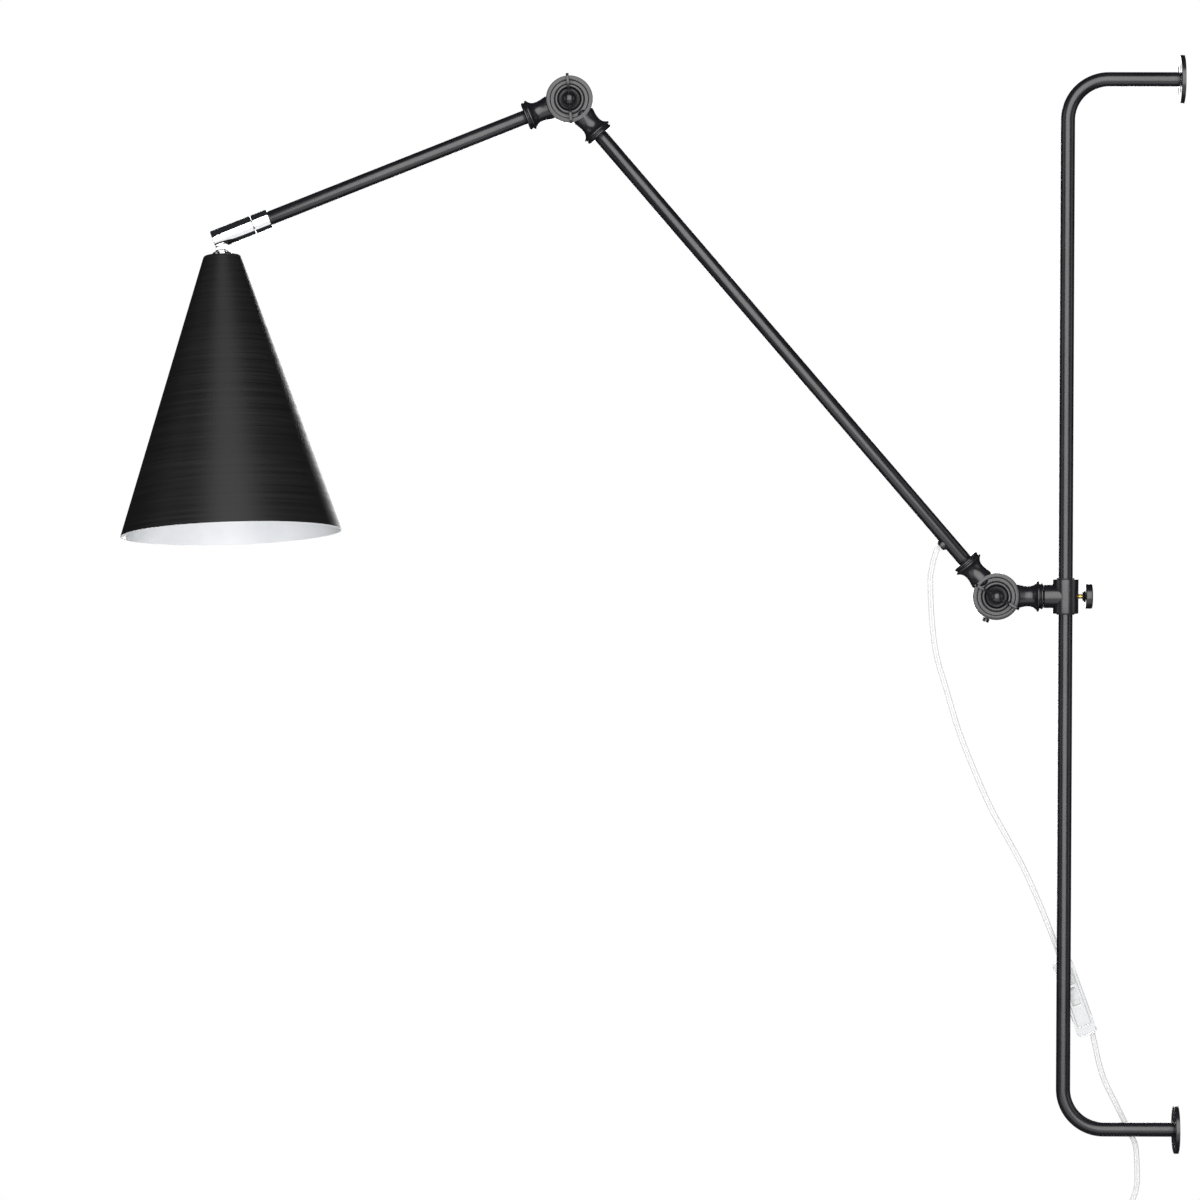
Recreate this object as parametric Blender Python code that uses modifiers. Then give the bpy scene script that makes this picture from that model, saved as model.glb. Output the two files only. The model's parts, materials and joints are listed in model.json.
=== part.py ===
"""Swing arm wall sconce with a bent wall pole, a sliding clamp, two friction knuckles and a cone shade.

Frame: +Z up, the wall is the plane Y = 0 and the lamp stands out towards -Y. The origin is the centre
of the lower wall flange's back face. The arms lie in the plane X = 0 and the wing nuts face +X.
"""

import math

import bmesh
import bpy
from mathutils import Matrix, Vector

GAP = 0.0003  # left between pieces that touch

# Wall pole
TUBE_RADIUS = 0.0065
TUBE_WALL = 0.0012
POLE_REACH = 0.105
POLE_HEIGHT = 0.956
BEND_RADIUS = 0.037
BEND_STEPS = 7
FLANGE_RADIUS = 0.022
FLANGE_THICKNESS = 0.004
FLANGE_HOLES = 4
FLANGE_HOLE_CIRCLE = 0.0142
FLANGE_HOLE_RADIUS = 0.0021
FLANGE_SINK_RADIUS = 0.0042

# Clamp that slides and turns on the pole
COLLAR_HEIGHT_ON_POLE = 0.487
COLLAR_RADIUS = 0.01175
COLLAR_LENGTH = 0.0314
BUSH_RADIUS = 0.0082
BUSH_LENGTH = 0.0332
SPIGOT_RADIUS = 0.01065
STUD_RADIUS = 0.004
KNOB_RADIUS = 0.01125
KNOB_NEAR = 0.0179  # from the pole's axis to the knob's two faces
KNOB_FAR = 0.0242
SCREW_RADIUS = 0.00225

# Friction knuckles
JOINT_REACH = 0.0635  # from the pole's axis to the lower knuckle's axis
DISC_RADIUS = 0.0213
DISC_FACE = 0.011
DISC_FLOOR = 0.0086  # the sunk face that carries the cup washer
HALF_GAP = 0.0008  # from the middle plane to each half, with a washer between them
NECK_END = 0.043
SOCKET_START = 0.030
BOLT_RADIUS = 0.003
CUP_RADIUS = 0.0141
WING_REACH = 0.0227
WING_THICKNESS = 0.002

# Arms
LONG_ARM = 0.5945
LONG_ARM_RISE = 49.2
FOREARM = 0.340
FOREARM_DROP = 21.6
GLAND_ALONG = 0.0670  # from the lower knuckle's axis, on the long arm

# Swivel and shade
SWIVEL_RADIUS = 0.00885
SWIVEL_END = 0.0078  # past the tilt axis
SWIVEL_SEAM = 0.0310  # behind the tilt axis
SWIVEL_BACK = 0.0470
SLOT_WIDTH = 0.0066
HEAD_ROLL = 7.5
SHADE_BEND = 71.0  # from the forearm's direction to the shade's axis
SHADE_TOP = 0.0167  # from the tilt axis to the shade's top
SHADE_HEIGHT = 0.254
SHADE_TOP_RADIUS = 0.0175
SHADE_RIM_RADIUS = 0.100
SHADE_SHEET = 0.001

# Cord, switch and plug
CORD_RADIUS = 0.0026
CORD_STEP = 0.0125
END_STEP = 0.0015
SWITCH_TOP = Vector((-0.016, -0.1057, 0.1528))
SWITCH_LEAN = 20.0
SWITCH_LENGTH = 0.072
SWITCH_WIDTH = 0.0182
SWITCH_DEPTH = 0.0150
SWITCH_OUTLET_OFFSET = 0.0042
COIL_CENTRE = Vector((-0.016, -0.0415, -0.1272))
COIL_RADIUS = 0.0285
COIL_SECTION = 0.0150
PLUG_TOP = Vector((-0.016, -0.0752, -0.1992))
PLUG_LENGTH = 0.036
PLUG_WIDTH = 0.0352
PLUG_DEPTH = 0.0137

ROUND = 20
SMALL_ROUND = 12

X_AXIS, Y_AXIS, Z_AXIS = Vector((1, 0, 0)), Vector((0, 1, 0)), Vector((0, 0, 1))


def clear_scene():
    for old in list(bpy.data.objects):
        bpy.data.objects.remove(old, do_unlink=True)


clear_scene()
parts = bpy.data.collections.new("swing_arm_wall_sconce")
cutters = bpy.data.collections.new("cutters")
for group in (parts, cutters):
    bpy.context.scene.collection.children.link(group)


def finish_material(name, colour, roughness, metallic, alpha=1.0):
    material = bpy.data.materials.new(name)
    material.use_nodes = True
    shader = material.node_tree.nodes["Principled BSDF"]
    shader.inputs["Base Color"].default_value = (*colour, 1.0)
    shader.inputs["Roughness"].default_value = roughness
    shader.inputs["Metallic"].default_value = metallic
    shader.inputs["Alpha"].default_value = alpha
    return material


BLACK = ("black_paint", (0.018, 0.018, 0.020), 0.42, 0.0)
SHADE_BLACK = ("shade_paint", (0.015, 0.015, 0.015), 0.6, 0.0)
CHROME = ("chrome", (0.80, 0.80, 0.82), 0.06, 1.0)
BRASS = ("brass", (0.72, 0.52, 0.22), 0.25, 1.0)
STEEL = ("steel", (0.55, 0.55, 0.56), 0.35, 1.0)
FIBRE = ("fibre_washer", (0.10, 0.09, 0.08), 0.8, 0.0)
CLEAR = ("clear_plastic", (0.86, 0.87, 0.88), 0.12, 0.0, 0.45)
WHITE = ("white_plastic", (0.85, 0.85, 0.84), 0.3, 0.0)
NYLON = ("black_nylon", (0.03, 0.03, 0.03), 0.5, 0.0)


# Frames: one empty on each moving body's joint axis


def frame_at(origin, z_axis, x_axis):
    """A matrix whose local Z and X point along the two directions."""
    z = z_axis.normalized()
    x = (x_axis - z * x_axis.dot(z)).normalized()
    y = z.cross(x)
    turned = Matrix((x, y, z)).transposed().to_4x4()
    return Matrix.Translation(origin) @ turned


def arm_direction(angle_from_wall_normal, up):
    """A unit vector in the plane X = 0, away from the wall and up or down by an angle in degrees."""
    a = math.radians(angle_from_wall_normal)
    return Vector((0, -math.cos(a), math.sin(a) * up))


pole_foot = Vector((0, -POLE_REACH, 0))
collar_centre = pole_foot + Z_AXIS * COLLAR_HEIGHT_ON_POLE
lower_joint = collar_centre - Y_AXIS * JOINT_REACH
long_arm_way = arm_direction(LONG_ARM_RISE, 1)
upper_joint = lower_joint + long_arm_way * LONG_ARM
forearm_way = arm_direction(FOREARM_DROP, -1)
shade_pivot = upper_joint + forearm_way * FOREARM
tilt_axis = Matrix.Rotation(math.radians(HEAD_ROLL), 3, forearm_way) @ X_AXIS
shade_way = Matrix.Rotation(math.radians(SHADE_BEND), 3, tilt_axis) @ forearm_way
gland_way = Vector((0, -long_arm_way.z, long_arm_way.y))
gland_seat = lower_joint + long_arm_way * GLAND_ALONG
switch_down = Vector(
    (0, math.sin(math.radians(SWITCH_LEAN)), -math.cos(math.radians(SWITCH_LEAN)))
)
switch_across = Vector((0, -switch_down.z, switch_down.y))
switch_middle = SWITCH_TOP + switch_down * (SWITCH_LENGTH / 2)

FRAMES = {
    "wall_pole": Matrix.Identity(4),
    "pole_slider": frame_at(collar_centre, Z_AXIS, X_AXIS),
    "clamp": frame_at(collar_centre, Z_AXIS, X_AXIS),
    "thumb_screw": frame_at(collar_centre, Y_AXIS, X_AXIS),
    "long_arm": frame_at(lower_joint, X_AXIS, long_arm_way),
    "lower_wing_nut": frame_at(lower_joint, X_AXIS, Z_AXIS),
    "forearm": frame_at(upper_joint, -X_AXIS, forearm_way),
    "upper_wing_nut": frame_at(upper_joint, X_AXIS, Z_AXIS),
    "swivel_head": frame_at(shade_pivot, forearm_way, tilt_axis),
    "lamp_head": frame_at(shade_pivot, shade_way, tilt_axis),
    "switch_rocker": frame_at(switch_middle, -X_AXIS, switch_down),
}
empties = {}
for body, matrix in FRAMES.items():
    empty = bpy.data.objects.new(body + "_frame", None)
    empty.empty_display_size = 0.02
    empty.matrix_world = matrix
    parts.objects.link(empty)
    empties[body] = empty


def place(piece, body, matrix):
    """Parent a piece to its body's empty with its own matrix in the world."""
    piece.parent = empties[body]
    piece.matrix_local = FRAMES[body].inverted() @ matrix


def register(piece, body, matrix, look):
    parts.objects.link(piece)
    piece.data.materials.append(bpy.data.materials.get(look[0]) or finish_material(*look))
    place(piece, body, matrix)
    return piece


# Shape makers


def screw_spin(piece, sides):
    """Turn a profile about local Z."""
    spin = piece.modifiers.new("turn", "SCREW")
    spin.axis = "Z"
    spin.angle = math.tau
    spin.steps = sides
    spin.render_steps = sides
    spin.use_merge_vertices = True
    spin.merge_threshold = 1e-6
    spin.use_normal_calculate = False
    spin.use_smooth_shade = True


def turned(name, profile, body, matrix, look, closed=False, sides=ROUND, group=None):
    """A turned piece. The profile is (radius, height) points that run down its outer side."""
    mesh = bpy.data.meshes.new(name)
    points = [(r, 0, z) for r, z in profile]
    edges = [(i, i + 1) for i in range(len(points) - 1)]
    if closed:
        edges.append((len(points) - 1, 0))
    mesh.from_pydata(points, edges, [])
    piece = bpy.data.objects.new(name, mesh)
    screw_spin(piece, sides)
    if group is None:
        return register(piece, body, matrix, look)
    return piece


def ring(name, outer, inner, low, high, body, matrix, look, sides=ROUND):
    """A plain sleeve or washer."""
    profile = [(inner, high), (outer, high), (outer, low), (inner, low)]
    return turned(name, profile, body, matrix, look, closed=True, sides=sides)


def as_cutter(piece, body, matrix):
    cutters.objects.link(piece)
    piece.hide_render = True
    piece.display_type = "WIRE"
    place(piece, body, matrix)
    return piece


def round_cutter(name, radius, low, high, body, matrix, far_radius=None, sides=SMALL_ROUND):
    """A cylinder or cone along local Z, from low to high."""
    mesh = bpy.data.meshes.new(name)
    bm = bmesh.new()
    bmesh.ops.create_cone(
        bm, cap_ends=True, segments=sides, radius1=radius,
        radius2=radius if far_radius is None else far_radius, depth=high - low,
        matrix=Matrix.Translation((0, 0, (low + high) / 2)),
    )
    bm.to_mesh(mesh)
    bm.free()
    return as_cutter(bpy.data.objects.new(name, mesh), body, matrix)


def box_mesh(name, low, high):
    mesh = bpy.data.meshes.new(name)
    bm = bmesh.new()
    low, high = Vector(low), Vector(high)
    size = high - low
    bmesh.ops.create_cube(
        bm, size=1,
        matrix=Matrix.Translation((low + high) / 2) @ Matrix.Diagonal((*size, 1)),
    )
    bm.to_mesh(mesh)
    bm.free()
    return bpy.data.objects.new(name, mesh)


def cut(piece, cutter, operation="DIFFERENCE"):
    step = piece.modifiers.new(operation.lower(), "BOOLEAN")
    step.operation = operation
    step.solver = "EXACT"
    step.object = cutter


def bevelled(piece, width, segments=1):
    step = piece.modifiers.new("edges", "BEVEL")
    step.width = width
    step.segments = segments
    step.limit_method = "ANGLE"
    step.angle_limit = math.radians(40)


def curve_tube(name, points, radius, body, look, resolution=2, caps=True):
    """A wire or tube whose points are in the world."""
    curve = bpy.data.curves.new(name, "CURVE")
    curve.dimensions = "3D"
    curve.bevel_depth = radius
    curve.bevel_resolution = resolution
    curve.use_fill_caps = caps
    spline = curve.splines.new("POLY")
    spline.points.add(len(points) - 1)
    inverse = FRAMES[body].inverted()
    for point, place_ in zip(spline.points, points):
        point.co = (*(inverse @ place_), 1)
    spline.use_smooth = True
    return register(bpy.data.objects.new(name, curve), body, FRAMES[body], look)


def flat_plate(name, outline, thickness, body, matrix, look=None):
    """A flat outline in local X and Y, thickened both ways along local Z, as a mesh."""
    curve = bpy.data.curves.new(name, "CURVE")
    curve.dimensions = "2D"
    curve.fill_mode = "BOTH"
    curve.extrude = thickness / 2
    spline = curve.splines.new("POLY")
    spline.points.add(len(outline) - 1)
    for point, (x, y) in zip(spline.points, outline):
        point.co = (x, y, 0, 1)
    spline.use_cyclic_u = True
    source = bpy.data.objects.new(name + "_outline", curve)
    parts.objects.link(source)
    piece = bpy.data.objects.new(name, mesh_of(source, name))
    if look is None:
        return as_cutter(piece, body, matrix)
    return register(piece, body, matrix, look)


def mesh_of(source, name, weld=1e-6):
    """The mesh that a curve makes, with its doubles merged. The curve is removed."""
    graph = bpy.context.evaluated_depsgraph_get()
    mesh = bpy.data.meshes.new_from_object(source.evaluated_get(graph))
    bpy.data.objects.remove(source, do_unlink=True)
    mesh.name = name
    bm = bmesh.new()
    bm.from_mesh(mesh)
    bmesh.ops.remove_doubles(bm, verts=bm.verts, dist=weld)
    bmesh.ops.recalc_face_normals(bm, faces=bm.faces)
    bm.to_mesh(mesh)
    bm.free()
    mesh.materials.clear()
    return mesh


def arc(centre, radius, start, end, steps):
    """Points (a, b) on an arc, angles in degrees."""
    turn = [math.radians(start + (end - start) * i / steps) for i in range(steps + 1)]
    return [(centre[0] + radius * math.cos(t), centre[1] + radius * math.sin(t)) for t in turn]


# Wall pole and its two flanges


def make_pole():
    near = FLANGE_THICKNESS + GAP
    turn_y = POLE_REACH - BEND_RADIUS
    lower = arc((-turn_y, BEND_RADIUS), BEND_RADIUS, 270, 180, BEND_STEPS)
    upper = arc((-turn_y, POLE_HEIGHT - BEND_RADIUS), BEND_RADIUS, 180, 90, BEND_STEPS)
    route = [(-near, 0)] + lower + upper + [(-near, POLE_HEIGHT)]
    points = [Vector((0, y, z)) for y, z in route]
    source = curve_tube("pole_tube_line", points, TUBE_RADIUS, "wall_pole", BLACK, 4, caps=False)
    pole = bpy.data.objects.new("pole_tube", mesh_of(source, "pole_tube"))
    pole.data.shade_smooth()
    register(pole, "wall_pole", FRAMES["wall_pole"], BLACK)
    shell = pole.modifiers.new("wall", "SOLIDIFY")
    shell.thickness = TUBE_WALL
    shell.offset = -1
    shell.use_even_offset = True


def make_flange(name, height):
    matrix = frame_at(Vector((0, 0, height)), -Y_AXIS, X_AXIS)
    edge = 0.0006
    top = FLANGE_THICKNESS
    profile = [
        (0, top), (FLANGE_RADIUS - edge, top), (FLANGE_RADIUS, top - edge),
        (FLANGE_RADIUS, 0), (0, 0),
    ]
    flange = turned(name, profile, "wall_pole", matrix, BLACK)
    for i in range(FLANGE_HOLES):
        angle = math.tau * (i + 0.5) / FLANGE_HOLES
        spot = Vector((math.cos(angle), math.sin(angle), 0)) * FLANGE_HOLE_CIRCLE
        there = matrix @ Matrix.Translation(spot)
        over = 0.001
        hole = f"{name}_hole_{i + 1}"
        cut(flange, round_cutter(hole, FLANGE_HOLE_RADIUS, -over, top + over, "wall_pole", there, sides=12))
        rise = FLANGE_SINK_RADIUS - FLANGE_HOLE_RADIUS
        sink = round_cutter(
            hole + "_sink", FLANGE_HOLE_RADIUS, top - rise, top + over, "wall_pole", there,
            far_radius=FLANGE_SINK_RADIUS + over, sides=12,
        )
        cut(flange, sink)


# Clamp on the pole


def make_clamp():
    here = FRAMES["clamp"]
    half = COLLAR_LENGTH / 2
    bush_half = BUSH_LENGTH / 2
    ring("collar_bush", BUSH_RADIUS, TUBE_RADIUS + GAP + 0.0001, -bush_half, bush_half,
         "pole_slider", FRAMES["pole_slider"], NYLON)
    edge = 0.0006
    profile = [
        (0, half), (COLLAR_RADIUS - edge, half), (COLLAR_RADIUS, half - edge),
        (COLLAR_RADIUS, edge - half), (COLLAR_RADIUS - edge, -half), (0, -half),
    ]
    collar = turned("clamp_collar", profile, "clamp", here, BLACK)
    outward = frame_at(collar_centre, -Y_AXIS, X_AXIS)
    seam = JOINT_REACH - NECK_END - GAP
    spigot = round_cutter("spigot", SPIGOT_RADIUS, 0.002, seam, "clamp", outward, sides=ROUND)
    cut(collar, spigot, "UNION")
    bore = round_cutter("collar_bore", BUSH_RADIUS + GAP, -half * 2, half * 2, "clamp", here, sides=ROUND)
    cut(collar, bore)
    stud_end = seam - 0.0085
    cut(collar, round_cutter("collar_stud_hole", STUD_RADIUS + GAP, stud_end, seam * 2, "clamp", outward))
    inward = FRAMES["thumb_screw"]
    cut(collar, round_cutter("screw_hole", SCREW_RADIUS + GAP, 0, 2 * COLLAR_RADIUS, "clamp", inward))
    stud = [
        (0, seam + 0.009), (STUD_RADIUS, seam + 0.009),
        (STUD_RADIUS, stud_end + GAP), (0, stud_end + GAP),
    ]
    turned("collar_stud", stud, "clamp", outward, STEEL, sides=SMALL_ROUND)


def make_thumb_screw():
    here = FRAMES["thumb_screw"]
    tip = BUSH_RADIUS + GAP
    head = KNOB_NEAR + 0.003
    shaft = [
        (0, head), (SCREW_RADIUS, head), (SCREW_RADIUS, tip + 0.0006),
        (SCREW_RADIUS - 0.0006, tip), (0, tip),
    ]
    turned("thumb_screw_shaft", shaft, "thumb_screw", here, BRASS, sides=SMALL_ROUND)
    edge = 0.0012
    hole = SCREW_RADIUS + GAP
    shoulder = KNOB_NEAR - 0.0028
    knob = [
        (0, KNOB_FAR), (KNOB_RADIUS - edge, KNOB_FAR), (KNOB_RADIUS, KNOB_FAR - edge),
        (KNOB_RADIUS, KNOB_NEAR + edge), (KNOB_RADIUS - edge, KNOB_NEAR), (0.0066, KNOB_NEAR),
        (0.0034, shoulder), (hole, shoulder), (hole, head + GAP), (0, head + GAP),
    ]
    turned("thumb_screw_knob", knob, "thumb_screw", here, BLACK)


# Friction knuckles


NECK_PROFILE = [  # distance from the joint's axis, radius
    (0.0130, 0.0078), (0.0200, 0.0106), (0.0245, 0.0100), (0.0295, 0.00915), (0.0345, 0.0105),
    (0.0382, 0.0140), (0.0392, 0.0128), (0.0396, 0.0113), (0.0406, 0.0113), (0.0414, 0.0118),
    (0.0430, 0.0105),
]


def make_knuckle(name, body, matrix, socket_radius, socket_start):
    """Half a knuckle: a disc on the local +Z side of the joint's plane, and a neck along local +X."""
    bore = BOLT_RADIUS + GAP
    edge = 0.0007
    disc = [
        (bore, DISC_FLOOR), (0.0171, DISC_FLOOR), (0.0176, DISC_FACE),
        (DISC_RADIUS - edge, DISC_FACE - 0.0004), (DISC_RADIUS, DISC_FACE - 0.0004 - edge),
        (DISC_RADIUS, HALF_GAP), (bore, HALF_GAP),
    ]
    knuckle = turned(name, disc, body, matrix, BLACK, closed=True, sides=24)
    along = matrix @ frame_at(Vector(), X_AXIS, Y_AXIS)
    run = [(r, s) for s, r in reversed(NECK_PROFILE)]
    neck = turned(
        name + "_neck", [(0, NECK_END)] + run + [(0, NECK_PROFILE[0][0])], None, None, None,
        sides=16, group=cutters,
    )
    cut(knuckle, as_cutter(neck, body, along), "UNION")
    other_half = DISC_RADIUS + 0.0004
    cut(knuckle, round_cutter(name + "_relief", other_half, -0.03, HALF_GAP, body, matrix, sides=24))
    cut(knuckle, round_cutter(
        name + "_socket", socket_radius + GAP, socket_start, NECK_END + 0.004, body, along, sides=16
    ))


def make_joint_fittings(joint, name, washer_body, far_body, bolt_body, nut_body, wing_angle):
    """The washers, bolt and wing nut of one knuckle. Local Z is the joint's axis, towards the nut."""
    axis = frame_at(joint, X_AXIS, Z_AXIS)
    back = frame_at(joint, -X_AXIS, Z_AXIS)
    bore = BOLT_RADIUS + GAP
    ring(f"{name}_friction_washer", 0.0135, bore, -0.0005, 0.0005, washer_body, axis, FIBRE)
    seat = DISC_FLOOR + GAP
    floor = seat + 0.0018
    crest = arc((0.0119, 0.0112), 0.0022, 150, 0, 4)
    cup = [(bore, floor), (0.0094, floor)] + crest + [(CUP_RADIUS, seat), (bore, seat)]
    turned(f"{name}_cup_washer", cup, far_body, axis, BLACK, closed=True)
    turned(f"{name}_rear_cup_washer", cup, bolt_body, back, BLACK, closed=True)
    head_seat = floor + GAP
    head = [(0, head_seat + 0.0042)] + [(r, head_seat + h) for r, h in (
        (0.0030, 0.0039), (0.0052, 0.0028), (0.0063, 0.0014), (0.0065, 0.0))]
    tip = 0.0175
    bolt = head + [(BOLT_RADIUS, head_seat), (BOLT_RADIUS, -tip), (0, -tip)]
    turned(f"{name}_bolt", bolt, bolt_body, back, STEEL, sides=SMALL_ROUND)
    ball_centre = 0.0165
    ball_radius = 0.0069
    ball = [(r, z) for r, z in reversed(arc((0, ball_centre), ball_radius, -48, 90, 6))]
    ball[0] = (0, ball_centre + ball_radius)
    hub = ball + [(0.0050, head_seat), (bore, head_seat), (bore, tip + GAP), (0, tip + GAP)]
    nut_matrix = axis @ Matrix.Rotation(math.radians(wing_angle), 4, "Z")
    nut = turned(f"{name}_wing_nut", hub, nut_body, nut_matrix, BLACK, sides=16)
    half = [
        (0.0058, 0.0128), (0.0096, 0.0141), (0.0190, 0.0152), (0.0222, 0.0177), (WING_REACH, 0.0208),
        (0.0212, 0.0236), (0.0176, 0.0247), (0.0140, 0.0238), (0.0113, 0.0206), (0.0094, 0.0170),
        (0.0058, 0.0160),
    ]
    upright = nut_matrix @ Matrix.Rotation(math.radians(90), 4, "X")
    for points, side in ((half, "a"), ([(-u, z) for u, z in reversed(half)], "b")):
        wing = flat_plate(f"{name}_wing_{side}", points, WING_THICKNESS, nut_body, upright)
        cut(nut, wing, "UNION")


def make_lower_stop_screw():
    """A small screw in the rim of the lower rear half, 21 degrees off straight down."""
    a = math.radians(21)
    way = Vector((0, -math.sin(a), -math.cos(a)))
    matrix = frame_at(lower_joint - X_AXIS * 0.0055, way, X_AXIS)
    sunk = DISC_RADIUS - 0.004
    head = DISC_RADIUS + GAP
    profile = [
        (0, head + 0.0036), (0.0026, head + 0.0036), (0.0030, head + 0.0030), (0.0030, head),
        (0.0015, head), (0.0015, sunk), (0, sunk),
    ]
    turned("lower_stop_screw", profile, "clamp", matrix, BLACK, sides=16)
    deep, out = sunk - GAP, DISC_RADIUS + 0.004
    hole = round_cutter("stop_screw_hole", 0.0018, deep, out, "clamp", matrix, sides=16)
    cut(bpy.data.objects["lower_rear_knuckle"], hole)


# Arms


def make_long_arm():
    matrix = frame_at(lower_joint, long_arm_way, X_AXIS)
    start = SOCKET_START + GAP
    inner = TUBE_RADIUS - TUBE_WALL
    tube = ring("long_arm_tube", TUBE_RADIUS, inner, start, LONG_ARM - start, "long_arm", matrix, BLACK,
                sides=16)
    out = frame_at(gland_seat, gland_way, long_arm_way)
    bush = 0.0029
    cut(tube, round_cutter("lead_hole", bush + GAP, 0.0, 0.012, "long_arm", out, sides=16))
    gland = [
        (0.0036, 0.0092), (0.0041, 0.0090), (0.0043, 0.0087), (0.0043, 0.0082), (0.0049, 0.0080),
        (0.0053, 0.0076), (0.0053, 0.0022), (bush + GAP, 0.0022), (bush + GAP, 0.0092),
    ]
    boss = turned("cord_gland", gland, "long_arm", out, BLACK, closed=True, sides=SMALL_ROUND)
    round_the_tube = TUBE_RADIUS + GAP
    cut(boss, round_cutter("gland_saddle", round_the_tube, 0.04, 0.10, "long_arm", matrix, sides=16))
    grommet = [
        (0.0012, 0.0102), (0.0030, 0.0102), (0.0034, 0.0098), (0.0034, 0.0095),
        (bush, 0.0095), (bush, 0.0048), (0.0012, 0.0048),
    ]
    turned("gland_grommet", grommet, "long_arm", out, CLEAR, closed=True, sides=16)
    lead = [lower_joint + long_arm_way * s for s in (GLAND_ALONG + 0.006, LONG_ARM / 2, LONG_ARM - 0.034)]
    curve_tube("long_arm_lead", lead, 0.0022, "long_arm", WHITE, 2)


def make_forearm():
    matrix = frame_at(upper_joint, forearm_way, X_AXIS)
    inner = TUBE_RADIUS - TUBE_WALL
    end = FOREARM - 0.0345
    ring("forearm_tube", TUBE_RADIUS, inner, SOCKET_START + GAP, end, "forearm", matrix, BLACK, sides=16)
    collar_low = FOREARM - SWIVEL_BACK
    collar_high = FOREARM - SWIVEL_SEAM - 0.0004
    step = end + GAP
    edge = 0.0004
    nipple = 0.0040
    fixed = [
        (nipple + GAP, collar_high), (SWIVEL_RADIUS - 0.0009, collar_high),
        (SWIVEL_RADIUS, collar_high - 0.0006), (SWIVEL_RADIUS, collar_low + edge),
        (SWIVEL_RADIUS - edge, collar_low), (TUBE_RADIUS + GAP, collar_low),
        (TUBE_RADIUS + GAP, step), (nipple + GAP, step),
    ]
    turned("swivel_collar", fixed, "forearm", matrix, CHROME, closed=True)
    ring("swivel_nipple", nipple, 0.0028, FOREARM - 0.044, FOREARM - 0.013, "forearm", matrix, STEEL,
         sides=SMALL_ROUND)
    lead = [upper_joint + forearm_way * s for s in (0.034, FOREARM / 2, FOREARM - 0.016)]
    curve_tube("forearm_lead", lead, 0.0022, "forearm", WHITE, 2)


# Swivel head and shade


def make_head():
    here = FRAMES["swivel_head"]  # local Z along the forearm, local X along the tilt axis
    edge = 0.0005
    slot_back = 0.0066
    body = [
        (0, SWIVEL_END), (SWIVEL_RADIUS - edge, SWIVEL_END), (SWIVEL_RADIUS, SWIVEL_END - edge),
        (SWIVEL_RADIUS, -SWIVEL_SEAM + 0.0006), (SWIVEL_RADIUS - 0.0009, -SWIVEL_SEAM),
        (0.0043, -SWIVEL_SEAM), (0.0043, -0.0125), (0, -0.0125),
    ]
    swivel = turned("swivel_body", body, "swivel_head", here, CHROME, sides=ROUND)
    side = SLOT_WIDTH / 2
    down = -0.012  # the shade's side of the swivel is local -Y
    slot = box_mesh("tilt_slot", (-side, down, -slot_back), (side, 0.0060, SWIVEL_END + 0.004))
    cut(swivel, as_cutter(slot, "swivel_head", here))
    pin_way = frame_at(shade_pivot, tilt_axis, forearm_way)
    pin = 0.0015
    cut(swivel, round_cutter("pin_hole", pin + GAP, -0.02, 0.02, "swivel_head", pin_way, sides=16))
    half = 0.0080
    profile = [(0, half), (pin, half), (pin, -half), (0, -half)]
    turned("tilt_pin", profile, "swivel_head", pin_way, STEEL, sides=16)
    feed = round_cutter("lead_passage", 0.0022, -0.014, -0.004, "swivel_head", here, sides=16)
    cut(swivel, feed)


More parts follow.
